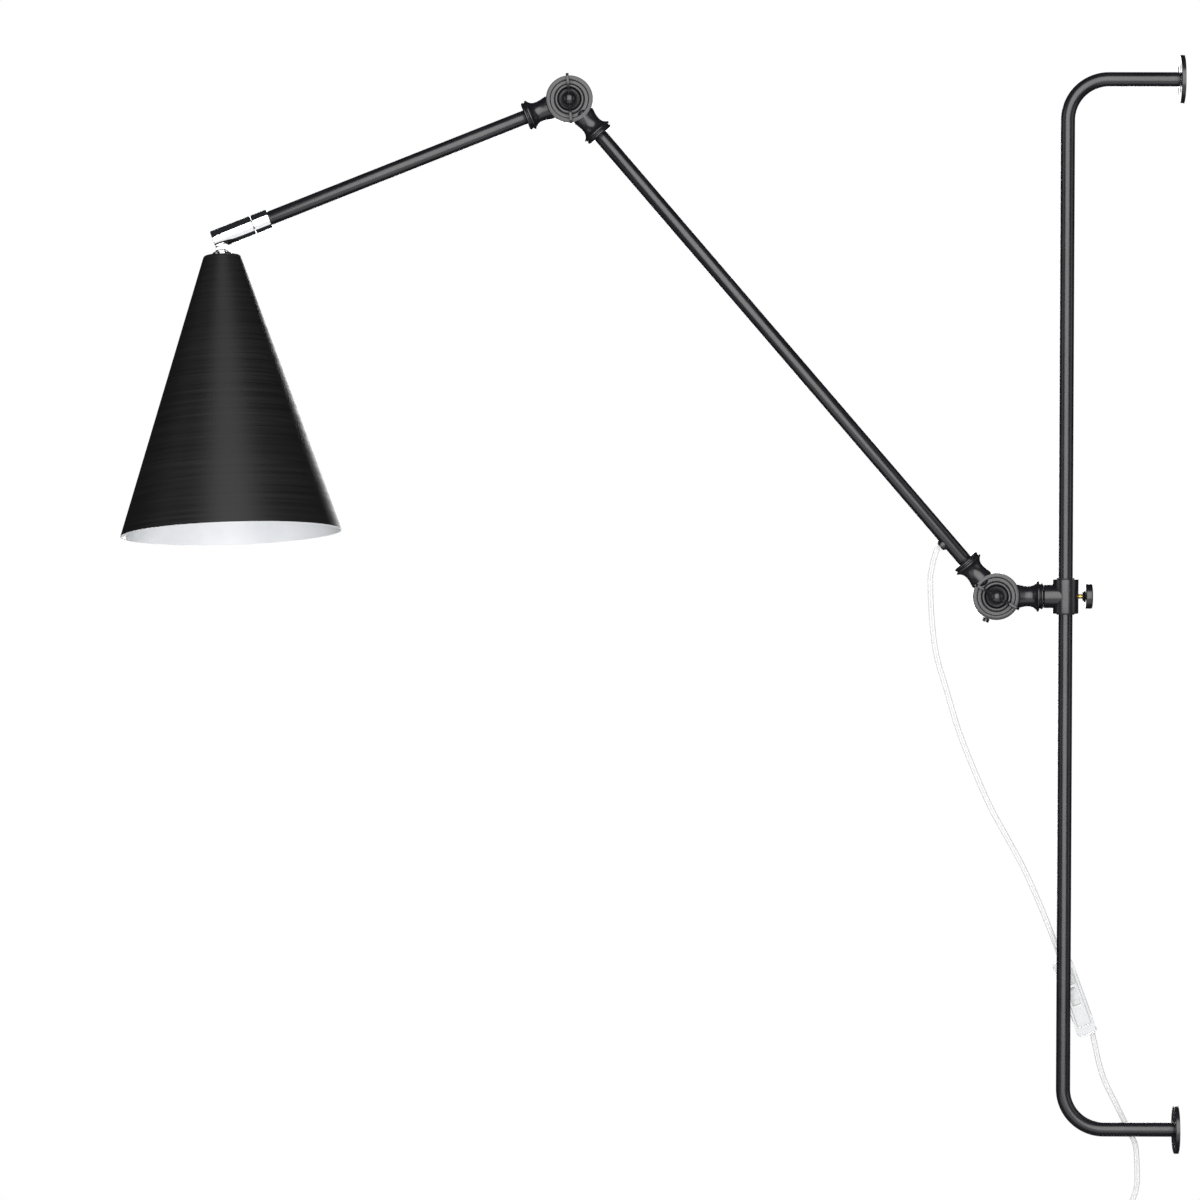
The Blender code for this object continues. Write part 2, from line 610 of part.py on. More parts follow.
def make_shade_parts():
    here = FRAMES["lamp_head"]  # local Z down the shade's axis, local X along the tilt axis
    reach = 0.0126
    cheek = 0.0052
    outline = arc((0, 0), cheek, 0, 180, 8) + [(-cheek, -reach), (cheek, -reach)]
    flat = here @ frame_at(Vector(), X_AXIS, Y_AXIS)  # plate's local X is Y, its local Y is Z
    plate_matrix = flat @ Matrix.Rotation(math.pi, 4, "X")
    tongue = flat_plate("swivel_tongue", outline, SLOT_WIDTH - 0.0008, "lamp_head", plate_matrix, CHROME)
    base_low = 0.0119
    nipple = 0.0050
    base = [
        (0.0, SHADE_TOP - GAP), (0.0086, SHADE_TOP - GAP), (0.0087, SHADE_TOP - 0.0008),
        (0.0087, 0.0142), (0.0078, 0.0138), (0.0060, 0.0128), (0.0054, base_low), (0.0, base_low),
    ]
    foot = turned("tongue_foot", base, None, None, None, sides=ROUND, group=cutters)
    cut(tongue, as_cutter(foot, "lamp_head", here), "UNION")
    cut(tongue, round_cutter("nipple_hole", nipple + GAP, 0.0136, 0.03, "lamp_head", here))
    pin_way = frame_at(shade_pivot, tilt_axis, forearm_way)
    cut(tongue, round_cutter("tongue_pin_hole", 0.0018, -0.02, 0.02, "lamp_head", pin_way, sides=16))
    ring("shade_nipple", nipple, 0.0034, 0.0139, 0.0300, "lamp_head", here, STEEL, sides=SMALL_ROUND)

    shoulder = 0.0030
    hole = nipple + GAP
    lip = arc((SHADE_TOP_RADIUS - shoulder, SHADE_TOP + shoulder), shoulder, -90, -18, 3)
    profile = [(hole, SHADE_TOP)] + lip + [(SHADE_RIM_RADIUS, SHADE_TOP + SHADE_HEIGHT)]
    shade = turned("shade", list(reversed(profile)), "lamp_head", here, SHADE_BLACK, sides=32)
    shell = shade.modifiers.new("sheet", "SOLIDIFY")
    shell.thickness = SHADE_SHEET
    shell.offset = -1
    shell.use_even_offset = True

    nut_low = SHADE_TOP + SHADE_SHEET + GAP
    nut = round_cutter("shade_lock_nut_blank", 0.0092, nut_low, nut_low + 0.003, "lamp_head", here, sides=6)
    cutters.objects.unlink(nut)
    nut.name = "shade_lock_nut"
    nut.hide_render = False
    nut.display_type = "TEXTURED"
    register(nut, "lamp_head", here, STEEL)
    cut(nut, round_cutter("lock_nut_hole", nipple + GAP, 0.01, 0.03, "lamp_head", here))

    cap_top = nut_low + 0.003 + GAP
    cap_low = 0.0342
    wall = 0.0016
    outer = [(0.0100, cap_top), (0.0145, 0.0245), (0.0175, 0.0292), (0.0188, cap_low)]
    cap = [(hole, cap_top)] + outer + [(r - wall, z + wall) for r, z in reversed(outer[1:-1])]
    cap[len(outer) + 1:len(outer) + 1] = [(0.0188 - wall, cap_low)]
    cap.append((hole, cap_top + wall))
    turned("lampholder_cap", list(reversed(cap)), "lamp_head", here, NYLON, closed=True, sides=ROUND)
    sleeve = [
        (0.0136, 0.0720), (0.0180, 0.0720), (0.0186, 0.0712), (0.0186, cap_low + GAP),
        (0.0136, cap_low + GAP),
    ]
    turned("lampholder_sleeve", sleeve, "lamp_head", here, NYLON, closed=True, sides=ROUND)
    contact = [
        (0, 0.0440), (0.0030, 0.0440), (0.0032, 0.0415), (0.0131, 0.0415), (0.0131, 0.0380), (0, 0.0380),
    ]
    turned("lampholder_contact", contact, "lamp_head", here, WHITE, sides=ROUND)


# Cord, switch, coil and plug


def smooth_route(route, step):
    """Points a step apart on a smooth curve through the route's own points.

    A point close to each end keeps the end faces square to the curve.
    """
    points = [route[0] * 2 - route[1]] + route + [route[-1] * 2 - route[-2]]
    fine = []
    for a, b, c, d in zip(points, points[1:], points[2:], points[3:]):
        for i in range(20):
            t = i / 20
            fine.append(0.5 * (
                2 * b + (c - a) * t + (2 * a - 5 * b + 4 * c - d) * t**2 + (3 * b - a - 3 * c + d) * t**3
            ))
    fine.append(route[-1])
    reach = [0.0]
    for p, q in zip(fine, fine[1:]):
        reach.append(reach[-1] + (q - p).length)
    length = reach[-1]
    count = max(2, round(length / step))
    wanted = [0.0, END_STEP] + [length * i / count for i in range(1, count)] + [length - END_STEP, length]
    out = []
    for want in wanted:
        i = max(1, next(n for n, far in enumerate(reach) if far >= want - 1e-9))
        share = (want - reach[i - 1]) / (reach[i] - reach[i - 1])
        out.append(fine[i - 1].lerp(fine[i], share))
    return out


UPPER_ROUTE = [
    (-0.0002, -0.2250, 0.5200), (-0.0004, -0.2268, 0.5110), (-0.0010, -0.2279, 0.5008),
    (-0.0025, -0.2264, 0.4675), (-0.0040, -0.2221, 0.4340), (-0.0058, -0.2130, 0.4030),
    (-0.0075, -0.2012, 0.3643), (-0.0090, -0.1880, 0.3308), (-0.0104, -0.1723, 0.2953),
    (-0.0115, -0.1567, 0.2668), (-0.0124, -0.1413, 0.2386), (-0.0133, -0.1284, 0.2105),
    (-0.0148, -0.1150, 0.1780),
]
LOWER_ROUTE = [
    (-0.0158, -0.0736, 0.0708), (-0.0153, -0.0707, 0.0578), (-0.0148, -0.0654, 0.0418),
    (-0.0142, -0.0576, 0.0260), (-0.0138, -0.0497, 0.0101), (-0.0136, -0.0418, -0.0059),
    (-0.0136, -0.0372, -0.0172), (-0.0138, -0.0356, -0.0392), (-0.0142, -0.0362, -0.0560),
    (-0.0148, -0.0415, -0.0700), (-0.0157, -0.0575, -0.0916),
]


def make_cords():
    start = gland_seat + gland_way * 0.0108
    lead_out = gland_seat + gland_way * 0.0130
    top = SWITCH_TOP - switch_down * GAP
    upper = [start, lead_out] + [Vector(p) for p in UPPER_ROUTE] + [top]
    curve_tube("cord_upper", smooth_route(upper, CORD_STEP), CORD_RADIUS, "clamp", CLEAR, 2)
    outlet = SWITCH_TOP + switch_down * (SWITCH_LENGTH + GAP) + switch_across * SWITCH_OUTLET_OFFSET
    lower = [outlet] + [Vector(p) for p in LOWER_ROUTE]
    curve_tube("cord_lower", smooth_route(lower, CORD_STEP), CORD_RADIUS, "pole_slider", CLEAR, 2)

    half = COIL_SECTION / 2
    edge = 0.003
    inner, outer = COIL_RADIUS - half, COIL_RADIUS + half
    section = [
        (inner + edge, half), (outer - edge, half), (outer, half - edge), (outer, edge - half),
        (outer - edge, -half), (inner + edge, -half), (inner, edge - half), (inner, half - edge),
    ]
    coil_matrix = frame_at(COIL_CENTRE, X_AXIS, Y_AXIS)
    turned("cord_coil", section, "pole_slider", coil_matrix, CLEAR, closed=True, sides=24)
    band = COIL_SECTION / 2 + GAP
    tie_matrix = frame_at(COIL_CENTRE - Z_AXIS * COIL_RADIUS, Y_AXIS, X_AXIS)
    tie_out = band + 0.0014
    tie = box_mesh("cord_tie", (-tie_out, -tie_out, -0.0025), (tie_out, tie_out, 0.0025))
    register(tie, "pole_slider", tie_matrix, NYLON)
    slack = 0.0006  # the ring's outside curves away under the flat band
    hollow = box_mesh("tie_hollow", (-band, -band - slack, -0.01), (band, band + slack, 0.01))
    cut(tie, as_cutter(hollow, "pole_slider", tie_matrix))

    relief = 0.020
    relief_top = PLUG_TOP + Z_AXIS * (relief + GAP)
    drop = COIL_CENTRE.z - 0.0195
    tail = [Vector((PLUG_TOP.x, PLUG_TOP.y, drop)), relief_top + Z_AXIS * 0.008, relief_top + Z_AXIS * GAP]
    curve_tube("cord_tail", smooth_route(tail, CORD_STEP), CORD_RADIUS, "pole_slider", CLEAR, 2)
    profile = [(0, relief), (0.0031, relief), (0.0045, 0.0), (0, 0.0)]
    matrix = Matrix.Translation(PLUG_TOP + Z_AXIS * GAP)
    turned("plug_strain_relief", profile, "pole_slider", matrix, WHITE, sides=16)


def make_switch():
    here = FRAMES["switch_rocker"]  # local Z away from the pole, local X down the switch
    length, width = SWITCH_LENGTH / 2, SWITCH_WIDTH / 2
    half_depth = SWITCH_DEPTH / 2
    corner = 0.004
    corners = [(1, 1, 0), (-1, 1, 90), (-1, -1, 180), (1, -1, 270)]
    outline = []
    for x, y, start in corners:
        outline += arc((x * (length - corner), y * (width - corner)), corner, start, start + 90, 3)
    room = 0.0018
    middle = GAP / 2
    layer = half_depth - middle
    for name, side in (("switch_base", -1), ("switch_cover", 1)):
        matrix = here @ Matrix.Translation((0, 0, side * (middle + layer / 2)))
        half = flat_plate(name, outline, layer, "clamp", matrix, CLEAR)
        bevelled(half, 0.0006)
        low, high = sorted((side * -0.001, side * (layer - room)))
        hollow = box_mesh(
            name + "_room", (-length + 0.006, -width + room, low), (length - 0.006, width - room, high)
        )
        cut(half, as_cutter(hollow, "clamp", here @ Matrix.Translation((0, 0, side * middle))))
    window = box_mesh("rocker_window", (-0.0092, -0.0042, 0.001), (0.0092, 0.0042, 0.02))
    cut(bpy.data.objects["switch_cover"], as_cutter(window, "clamp", here))
    block = box_mesh("switch_terminal_block", (-0.027, -0.0055, -0.0050), (-0.0125, 0.0055, 0.0030))
    register(block, "clamp", here, WHITE)
    bevelled(block, 0.0006)
    press = Matrix.Rotation(math.radians(6), 4, "Y")
    base, top = 0.0022, 0.0098
    side = [(-0.0072, base), (0.0072, base), (0.0085, top), (0.0, top - 0.0014), (-0.0085, top)]
    upright = Matrix.Rotation(math.radians(90), 4, "X")
    pivot = Matrix.Translation((0, 0, half_depth - 0.001))
    back = Matrix.Translation((0, 0, 0.001 - half_depth))
    flat_plate("switch_rocker", side, 0.0078, "switch_rocker", here @ pivot @ press @ back @ upright, WHITE)
    bevelled(bpy.data.objects["switch_rocker"], 0.0004)


def make_plug():
    matrix = frame_at(PLUG_TOP, X_AXIS, Y_AXIS)  # local X is Y, local Y is Z
    wide, long = PLUG_WIDTH / 2, PLUG_LENGTH
    outline = [
        (0.0062, 0), (0.0080, -0.006), (wide - 0.0025, -0.0210), (wide, -0.0260), (wide, -long),
        (-wide, -long), (-wide, -0.0260), (0.0025 - wide, -0.0210), (-0.0080, -0.006), (-0.0062, 0),
    ]
    body = flat_plate("plug_body", outline, PLUG_DEPTH, "pole_slider", matrix, WHITE)
    bevelled(body, 0.0016, 2)
    pin_half_spacing = 0.0093
    for name, side in (("plug_pin_a", -1), ("plug_pin_b", 1)):
        foot = PLUG_TOP + Vector((0, side * pin_half_spacing, -long))
        down = frame_at(foot, -Z_AXIS, X_AXIS)
        sunk, reach, radius = 0.006, 0.019, 0.0020
        hole = round_cutter(
            name + "_hole", radius + GAP, -sunk - GAP, 0.01, "pole_slider", down, sides=16
        )
        cut(body, hole)
        profile = [
            (0, reach), (radius - 0.0008, reach), (radius, reach - 0.0012), (radius, -sunk), (0, -sunk),
        ]
        turned(name, profile, "pole_slider", down, STEEL, sides=16)


make_pole()
make_flange("lower_wall_flange", 0.0)
make_flange("upper_wall_flange", POLE_HEIGHT)
make_clamp()
make_thumb_screw()
lower_back = frame_at(lower_joint, -X_AXIS, Y_AXIS)
lower_front = frame_at(lower_joint, X_AXIS, long_arm_way)
upper_front = frame_at(upper_joint, X_AXIS, -long_arm_way)
upper_back = frame_at(upper_joint, -X_AXIS, forearm_way)
stud_start = NECK_END - 0.0092
make_knuckle("lower_rear_knuckle", "clamp", lower_back, STUD_RADIUS, stud_start)
make_knuckle("lower_front_knuckle", "long_arm", lower_front, TUBE_RADIUS, SOCKET_START)
make_knuckle("upper_front_knuckle", "long_arm", upper_front, TUBE_RADIUS, SOCKET_START)
make_knuckle("upper_rear_knuckle", "forearm", upper_back, TUBE_RADIUS, SOCKET_START)
make_joint_fittings(lower_joint, "lower", "clamp", "long_arm", "clamp", "lower_wing_nut", 60.7)
make_joint_fittings(upper_joint, "upper", "forearm", "long_arm", "forearm", "upper_wing_nut", 4.8)
make_lower_stop_screw()
make_long_arm()
make_forearm()
make_head()
make_shade_parts()
make_cords()
make_switch()
make_plug()
for piece in parts.objects:
    if piece.type == "MESH" and not piece.modifiers:
        piece.data.shade_smooth()
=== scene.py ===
import json
import math

import bmesh
import bpy
from mathutils import Matrix, Vector


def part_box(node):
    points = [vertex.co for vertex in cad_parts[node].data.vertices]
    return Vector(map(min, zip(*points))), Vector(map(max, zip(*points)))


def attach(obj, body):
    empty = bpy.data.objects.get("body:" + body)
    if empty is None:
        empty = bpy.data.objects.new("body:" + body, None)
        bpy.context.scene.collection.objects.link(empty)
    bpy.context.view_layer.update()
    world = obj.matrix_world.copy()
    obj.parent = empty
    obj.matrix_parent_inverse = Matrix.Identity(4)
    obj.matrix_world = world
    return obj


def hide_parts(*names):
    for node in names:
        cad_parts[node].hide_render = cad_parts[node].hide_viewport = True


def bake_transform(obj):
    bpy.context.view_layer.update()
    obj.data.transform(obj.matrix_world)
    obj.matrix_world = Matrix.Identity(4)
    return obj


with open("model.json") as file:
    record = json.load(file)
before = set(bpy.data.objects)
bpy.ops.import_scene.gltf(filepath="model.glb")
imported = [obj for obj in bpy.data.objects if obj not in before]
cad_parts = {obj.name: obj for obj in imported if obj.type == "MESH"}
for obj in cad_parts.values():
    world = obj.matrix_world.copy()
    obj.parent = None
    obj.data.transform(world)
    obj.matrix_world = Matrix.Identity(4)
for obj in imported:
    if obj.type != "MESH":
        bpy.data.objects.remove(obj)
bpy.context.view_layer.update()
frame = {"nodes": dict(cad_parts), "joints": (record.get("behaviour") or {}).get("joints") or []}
nodes = frame["nodes"]
joints = {joint["name"]: joint for joint in frame["joints"]}
xAxis, yAxis, zAxis = Vector((1, 0, 0)), Vector((0, 1, 0)), Vector((0, 0, 1))
gap = 0.0003  # left between pieces that touch

# where the lamp's parts meet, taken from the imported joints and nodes
poleLow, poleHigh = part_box("pole_tube")
tubeRadius = poleHigh.x
poleReach = -(poleLow.y + tubeRadius)
poleTop = poleHigh.z - tubeRadius
collarCentre = Vector(joints["collar_swivel"]["pos_m"])
lowerJoint = Vector(joints["lower_elbow"]["pos_m"])
upperJoint = Vector(joints["upper_elbow"]["pos_m"])
headPivot = Vector(joints["shade_tilt"]["pos_m"])
forearmWay = Vector(joints["head_roll"]["axis"]).normalized()
tiltAxis = Vector(joints["shade_tilt"]["axis"]).normalized()
longArmWay = (upperJoint - lowerJoint).normalized()
longArm = (upperJoint - lowerJoint).length
forearm = (headPivot - upperJoint).length
shadeBend = 71.0
shadeWay = Matrix.Rotation(math.radians(shadeBend), 3, tiltAxis) @ forearmWay


def turnedTo(origin, zWay, xWay):
    # a matrix whose own Z and X point along the two directions
    z = zWay.normalized()
    x = (xWay - z * xWay.dot(z)).normalized()
    return Matrix.Translation(origin) @ Matrix((x, z.cross(x), z)).transposed().to_4x4()


print("frame loaded:", len(nodes), "CAD nodes")

# camera first, then the cords
view = {"place": Vector((4.5, -0.488, 0.6404)), "target": Vector((0.0, -0.5285, 0.4828)), "roll": 0.1,
        "lens": 148.35}


def setCamera():
    data = bpy.data.cameras.new("studioCamera")
    data.lens = view["lens"]
    data.sensor_width = 36
    data.clip_start = 0.05
    data.clip_end = 60
    eye = bpy.data.objects.new("studioCamera", data)
    look = (view["target"] - view["place"]).normalized()
    right = look.cross(zAxis).normalized()
    up = right.cross(look)
    turn = math.radians(view["roll"])
    cos, sin = math.cos(turn), math.sin(turn)
    right, up = right * cos + up * sin, up * cos - right * sin
    axes = Matrix((right, up, -look)).transposed().to_4x4()
    eye.matrix_world = Matrix.Translation(view["place"]) @ axes
    bpy.context.scene.collection.objects.link(eye)
    bpy.context.scene.camera = eye


setCamera()

# finishes


def newFinish(name, colour, roughness, metallic=0.0):
    finish = bpy.data.materials.new(name)
    finish.use_nodes = True
    shader = finish.node_tree.nodes["Principled BSDF"]
    shader.inputs["Base Color"].default_value = (*colour, 1)
    shader.inputs["Roughness"].default_value = roughness
    shader.inputs["Metallic"].default_value = metallic
    return finish, finish.node_tree, shader


def addNode(tree, kind, settings=None, sockets=None):
    node = tree.nodes.new(kind)
    for key, value in (settings or {}).items():
        setattr(node, key, value)
    for key, value in (sockets or {}).items():
        node.inputs[key].default_value = value
    return node


def grain(tree, scale, detail=3.0, source=None):
    # a noise pattern that stays on the piece
    if source is None:
        source = addNode(tree, "ShaderNodeTexCoord").outputs["Object"]
    noise = addNode(tree, "ShaderNodeTexNoise", None, {"Scale": scale, "Detail": detail})
    tree.links.new(source, noise.inputs["Vector"])
    return noise.outputs["Fac"]


def spread(tree, value, low, high, fromLow=0.3, fromHigh=0.7):
    node = addNode(tree, "ShaderNodeMapRange", None, {
        "From Min": fromLow, "From Max": fromHigh, "To Min": low, "To Max": high})
    tree.links.new(value, node.inputs["Value"])
    return node.outputs["Result"]


def tint(tree, value, dark, light):
    node = addNode(tree, "ShaderNodeValToRGB")
    node.color_ramp.elements[0].color = (*dark, 1)
    node.color_ramp.elements[1].color = (*light, 1)
    node.color_ramp.elements[0].position = 0.3
    node.color_ramp.elements[1].position = 0.7
    tree.links.new(value, node.inputs["Fac"])
    return node.outputs["Color"]


def raised(tree, shader, value, strength, depth):
    bump = addNode(tree, "ShaderNodeBump", None, {"Strength": strength, "Distance": depth})
    tree.links.new(value, bump.inputs["Height"])
    tree.links.new(bump.outputs["Normal"], shader.inputs["Normal"])


def satinBlack():
    look = {"dark": (0.0055, 0.0055, 0.0070), "light": (0.0110, 0.0105, 0.0135), "rough": (0.25, 0.31)}
    finish, tree, shader = newFinish("satinBlackCoat", look["dark"], 0.38)
    shader.inputs["Specular IOR Level"].default_value = 0.62
    cloud = grain(tree, 38.0, 4.0)
    tree.links.new(tint(tree, cloud, look["dark"], look["light"]), shader.inputs["Base Color"])
    tree.links.new(spread(tree, grain(tree, 160.0, 5.0), *look["rough"]), shader.inputs["Roughness"])
    raised(tree, shader, grain(tree, 1500.0, 2.0), 0.02, 0.00010)  # the powder coat's fine orange peel
    return finish


def shadeCoordinates(tree):
    # the shade's own axes, with Z down its axis
    place = turnedTo(headPivot, shadeWay, tiltAxis)
    coordinates = addNode(tree, "ShaderNodeTexCoord")
    align = addNode(tree, "ShaderNodeMapping", {"vector_type": "TEXTURE"}, {
        "Location": headPivot, "Rotation": place.to_euler()})
    tree.links.new(coordinates.outputs["Object"], align.inputs["Vector"])
    return align.outputs["Vector"]


def shadeOutside():
    look = {"dark": (0.0045, 0.0045, 0.0048), "light": (0.0090, 0.0090, 0.0094), "rough": (0.40, 0.50)}
    finish, tree, shader = newFinish("mattBlackShade", look["dark"], 0.55)
    shader.inputs["Specular IOR Level"].default_value = 0.36
    own = shadeCoordinates(tree)
    # fine lines round the cone
    lines = addNode(tree, "ShaderNodeMapping", None, {"Scale": (6.0, 6.0, 520.0)})
    tree.links.new(own, lines.inputs["Vector"])
    brush = grain(tree, 1.0, 3.0, lines.outputs["Vector"])
    tree.links.new(tint(tree, brush, look["dark"], look["light"]), shader.inputs["Base Color"])
    tree.links.new(spread(tree, brush, *look["rough"]), shader.inputs["Roughness"])
    raised(tree, shader, brush, 0.20, 0.00010)
    return finish


def shadeInside():
    look = {"dark": (0.80, 0.82, 0.85), "light": (0.88, 0.89, 0.91), "rough": (0.14, 0.24)}
    finish, tree, shader = newFinish("glossWhiteEnamel", look["light"], 0.18)
    shader.inputs["Coat Weight"].default_value = 0.35
    shader.inputs["Coat Roughness"].default_value = 0.08
    cloud = grain(tree, 26.0, 4.0)
    tree.links.new(tint(tree, cloud, look["dark"], look["light"]), shader.inputs["Base Color"])
    tree.links.new(spread(tree, cloud, *look["rough"]), shader.inputs["Roughness"])
    raised(tree, shader, grain(tree, 700.0, 2.0), 0.10, 0.00010)
    return finish


def metal(name, dark, light, rough, scale=220.0, bumpy=0.05):
    finish, tree, shader = newFinish(name, light, rough[0], 1.0)
    cloud = grain(tree, scale, 4.0)
    tree.links.new(tint(tree, cloud, dark, light), shader.inputs["Base Color"])
    tree.links.new(spread(tree, cloud, *rough), shader.inputs["Roughness"])
    raised(tree, shader, grain(tree, scale * 5, 2.0), bumpy, 0.00005)
    return finish


def moulded(name, dark, light, rough, scale=120.0, bumpy=0.12):
    finish, tree, shader = newFinish(name, light, rough[0])
    cloud = grain(tree, scale, 4.0)
    tree.links.new(tint(tree, cloud, dark, light), shader.inputs["Base Color"])
    tree.links.new(spread(tree, cloud, *rough), shader.inputs["Roughness"])
    raised(tree, shader, grain(tree, scale * 8, 2.0), bumpy, 0.00010)
    return finish


def clearPlastic(name, dark, light, rough, faced, edged):
    # see-through where it faces you; towards its edges a grey is painted ever more opaque, painted shade
    # and reflection that stand in for how the clear plastic's sides bend and reflect light
    finish, tree, shader = newFinish(name, light, rough[0])
    cloud = grain(tree, 90.0, 3.0)
    tree.links.new(tint(tree, cloud, dark, light), shader.inputs["Base Color"])
    tree.links.new(spread(tree, cloud, *rough), shader.inputs["Roughness"])
    facing = addNode(tree, "ShaderNodeLayerWeight", None, {"Blend": 0.5})
    paintedEdgeShade = spread(tree, facing.outputs["Facing"], faced, edged, 0.10, 0.60)
    tree.links.new(paintedEdgeShade, shader.inputs["Alpha"])
    return finish


finishes = {
    "black": satinBlack(),
    "shadeOut": shadeOutside(),
    "shadeIn": shadeInside(),
    "chrome": metal("polishedChrome", (0.78, 0.79, 0.80), (0.88, 0.88, 0.89), (0.03, 0.06), 220, 0.008),
    "brass": metal("brightBrass", (0.60, 0.47, 0.17), (0.82, 0.70, 0.34), (0.16, 0.28), 300.0, 0.15),
    "steel": metal("zincSteel", (0.42, 0.42, 0.43), (0.62, 0.62, 0.64), (0.26, 0.42), 260.0, 0.2),
    "core": moulded("paleCore", (0.74, 0.74, 0.73), (0.84, 0.84, 0.83), (0.35, 0.5), 400.0, 0.05),
    "fibre": moulded("pressedFibre", (0.045, 0.040, 0.035), (0.10, 0.085, 0.07), (0.7, 0.9), 900.0, 0.5),
    "nylon": moulded("blackNylon", (0.01, 0.01, 0.01), (0.022, 0.022, 0.022), (0.40, 0.55), 300, 0.2),
    "white": moulded("whiteMoulding", (0.76, 0.76, 0.74), (0.84, 0.84, 0.82), (0.26, 0.38)),
    "ceramic": moulded("glazedCeramic", (0.78, 0.77, 0.74), (0.88, 0.87, 0.84), (0.12, 0.22), 60, 0.05),
    # the grey of both clear plastics, opaque near their edges, is painted shade and reflection
    "sheath": clearPlastic("clearSheath", (0.24, 0.24, 0.25), (0.3, 0.3, 0.31), (0.15, 0.25), 0.05, 0.32),
    "shell": clearPlastic("clearShell", (0.4, 0.42, 0.46), (0.48, 0.5, 0.54), (0.2, 0.35), 0.10, 0.50),
}

# bench tools


def lathe(profile, steps=64, closed=False):
    # turns (radius, height) points about Z
    bm = bmesh.new()
    points = [bm.verts.new((r, 0, z)) for r, z in profile]
    edges = [bm.edges.new(pair) for pair in zip(points, points[1:])]
    if closed:
        edges.append(bm.edges.new((points[-1], points[0])))
    bmesh.ops.spin(bm, geom=points + edges, cent=(0, 0, 0), axis=(0, 0, 1), angle=math.tau, steps=steps,
                   use_merge=True, use_duplicate=False)
    bmesh.ops.remove_doubles(bm, verts=bm.verts, dist=2e-6)
    bmesh.ops.recalc_face_normals(bm, faces=bm.faces)
    return bm


def rod(radius, high, low, steps=64):
    return lathe([(0, high), (radius, high), (radius, low), (0, low)], steps)


def ring(inner, outer, high, low, steps=64):
    return lathe([(inner, high), (outer, high), (outer, low), (inner, low)], steps, closed=True)


crossways = Matrix.Rotation(math.radians(90), 4, "Y")  # lays a rod along X


def roundOff(bm, width, segments=2, angle=28):
    # softens every edge that is sharper than the angle
    turn = math.radians(angle)
    sharp = [e for e in bm.edges if len(e.link_faces) == 2 and e.calc_face_angle(0) > turn]
    bmesh.ops.bevel(bm, geom=sharp, offset=width, offset_type="OFFSET", segments=segments, profile=0.5,
                    affect="EDGES", clamp_overlap=True, material=-1)
    return bm


def block(low, high):
    bm = bmesh.new()
    low, high = Vector(low), Vector(high)
    scale = Matrix.Diagonal((*(high - low), 1))
    bmesh.ops.create_cube(bm, size=1, matrix=Matrix.Translation((low + high) / 2) @ scale)
    return bm


def vertsOf(geom):
    return [item for item in geom if isinstance(item, bmesh.types.BMVert)]


def slab(outline, thickness):
    # a flat outline in X and Y, thickened both ways along Z
    bm = bmesh.new()
    corners = [bm.verts.new((x, y, -thickness / 2)) for x, y in outline]
    face = bmesh.ops.contextual_create(bm, geom=corners)["faces"]
    up = vertsOf(bmesh.ops.extrude_face_region(bm, geom=face)["geom"])
    bmesh.ops.translate(bm, verts=up, vec=(0, 0, thickness))
    bmesh.ops.recalc_face_normals(bm, faces=bm.faces)
    return bm


def moved(bm, matrix):
    bmesh.ops.transform(bm, matrix=matrix, verts=bm.verts)
    return bm


def joined(*shapes):
    whole = bmesh.new()
    for bm in shapes:
        carrier = bpy.data.meshes.new("carrier")
        bm.to_mesh(carrier)
        whole.from_mesh(carrier)
        bpy.data.meshes.remove(carrier)
        bm.free()
    return whole


def worked(bm, tool, way="DIFFERENCE"):
    # cuts a tool's shape out of a piece, or unites the two
    pair = []
    for shape in (bm, tool):
        mesh = bpy.data.meshes.new("work")
        shape.to_mesh(mesh)
        shape.free()
        pair.append(bpy.data.objects.new("work", mesh))
        bpy.context.scene.collection.objects.link(pair[-1])
    step = pair[0].modifiers.new("work", "BOOLEAN")
    step.operation = way
    step.solver = "EXACT"
    step.object = pair[1]
    graph = bpy.context.evaluated_depsgraph_get()
    result = bpy.data.meshes.new_from_object(pair[0].evaluated_get(graph))
    out = bmesh.new()
    out.from_mesh(result)
    for old in pair:
        mesh = old.data
        bpy.data.objects.remove(old, do_unlink=True)
        bpy.data.meshes.remove(mesh)
    bpy.data.meshes.remove(result)
    bmesh.ops.remove_doubles(out, verts=out.verts, dist=2e-6)
    return out


def keep(name, bm, finish, body, stands=(), matrix=None, sharp=32, blendWith=None):
    # makes the finished piece, with its place in its mesh, and puts it on its body; a piece given blendWith
    # is left where it is without a body
    looks = finish if isinstance(finish, (list, tuple)) else [finish]
    if matrix is not None:
        moved(bm, matrix)
    mesh = bpy.data.meshes.new(name)
    bm.to_mesh(mesh)
    bm.free()
    mesh.shade_smooth()
    mesh.set_sharp_from_angle(angle=math.radians(sharp))
    for look in looks:
        mesh.materials.append(finishes[look])
    piece = bpy.data.objects.new(name, mesh)
    bpy.context.scene.collection.objects.link(piece)
    if blendWith is None:
        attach(piece, body)
    else:
        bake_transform(piece)
    if stands:
        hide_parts(*stands)
    return piece


def arc(centre, radius, start, end, steps):
    turns = [math.radians(start + (end - start) * i / steps) for i in range(steps + 1)]
    return [(centre[0] + radius * math.cos(t), centre[1] + radius * math.sin(t)) for t in turns]


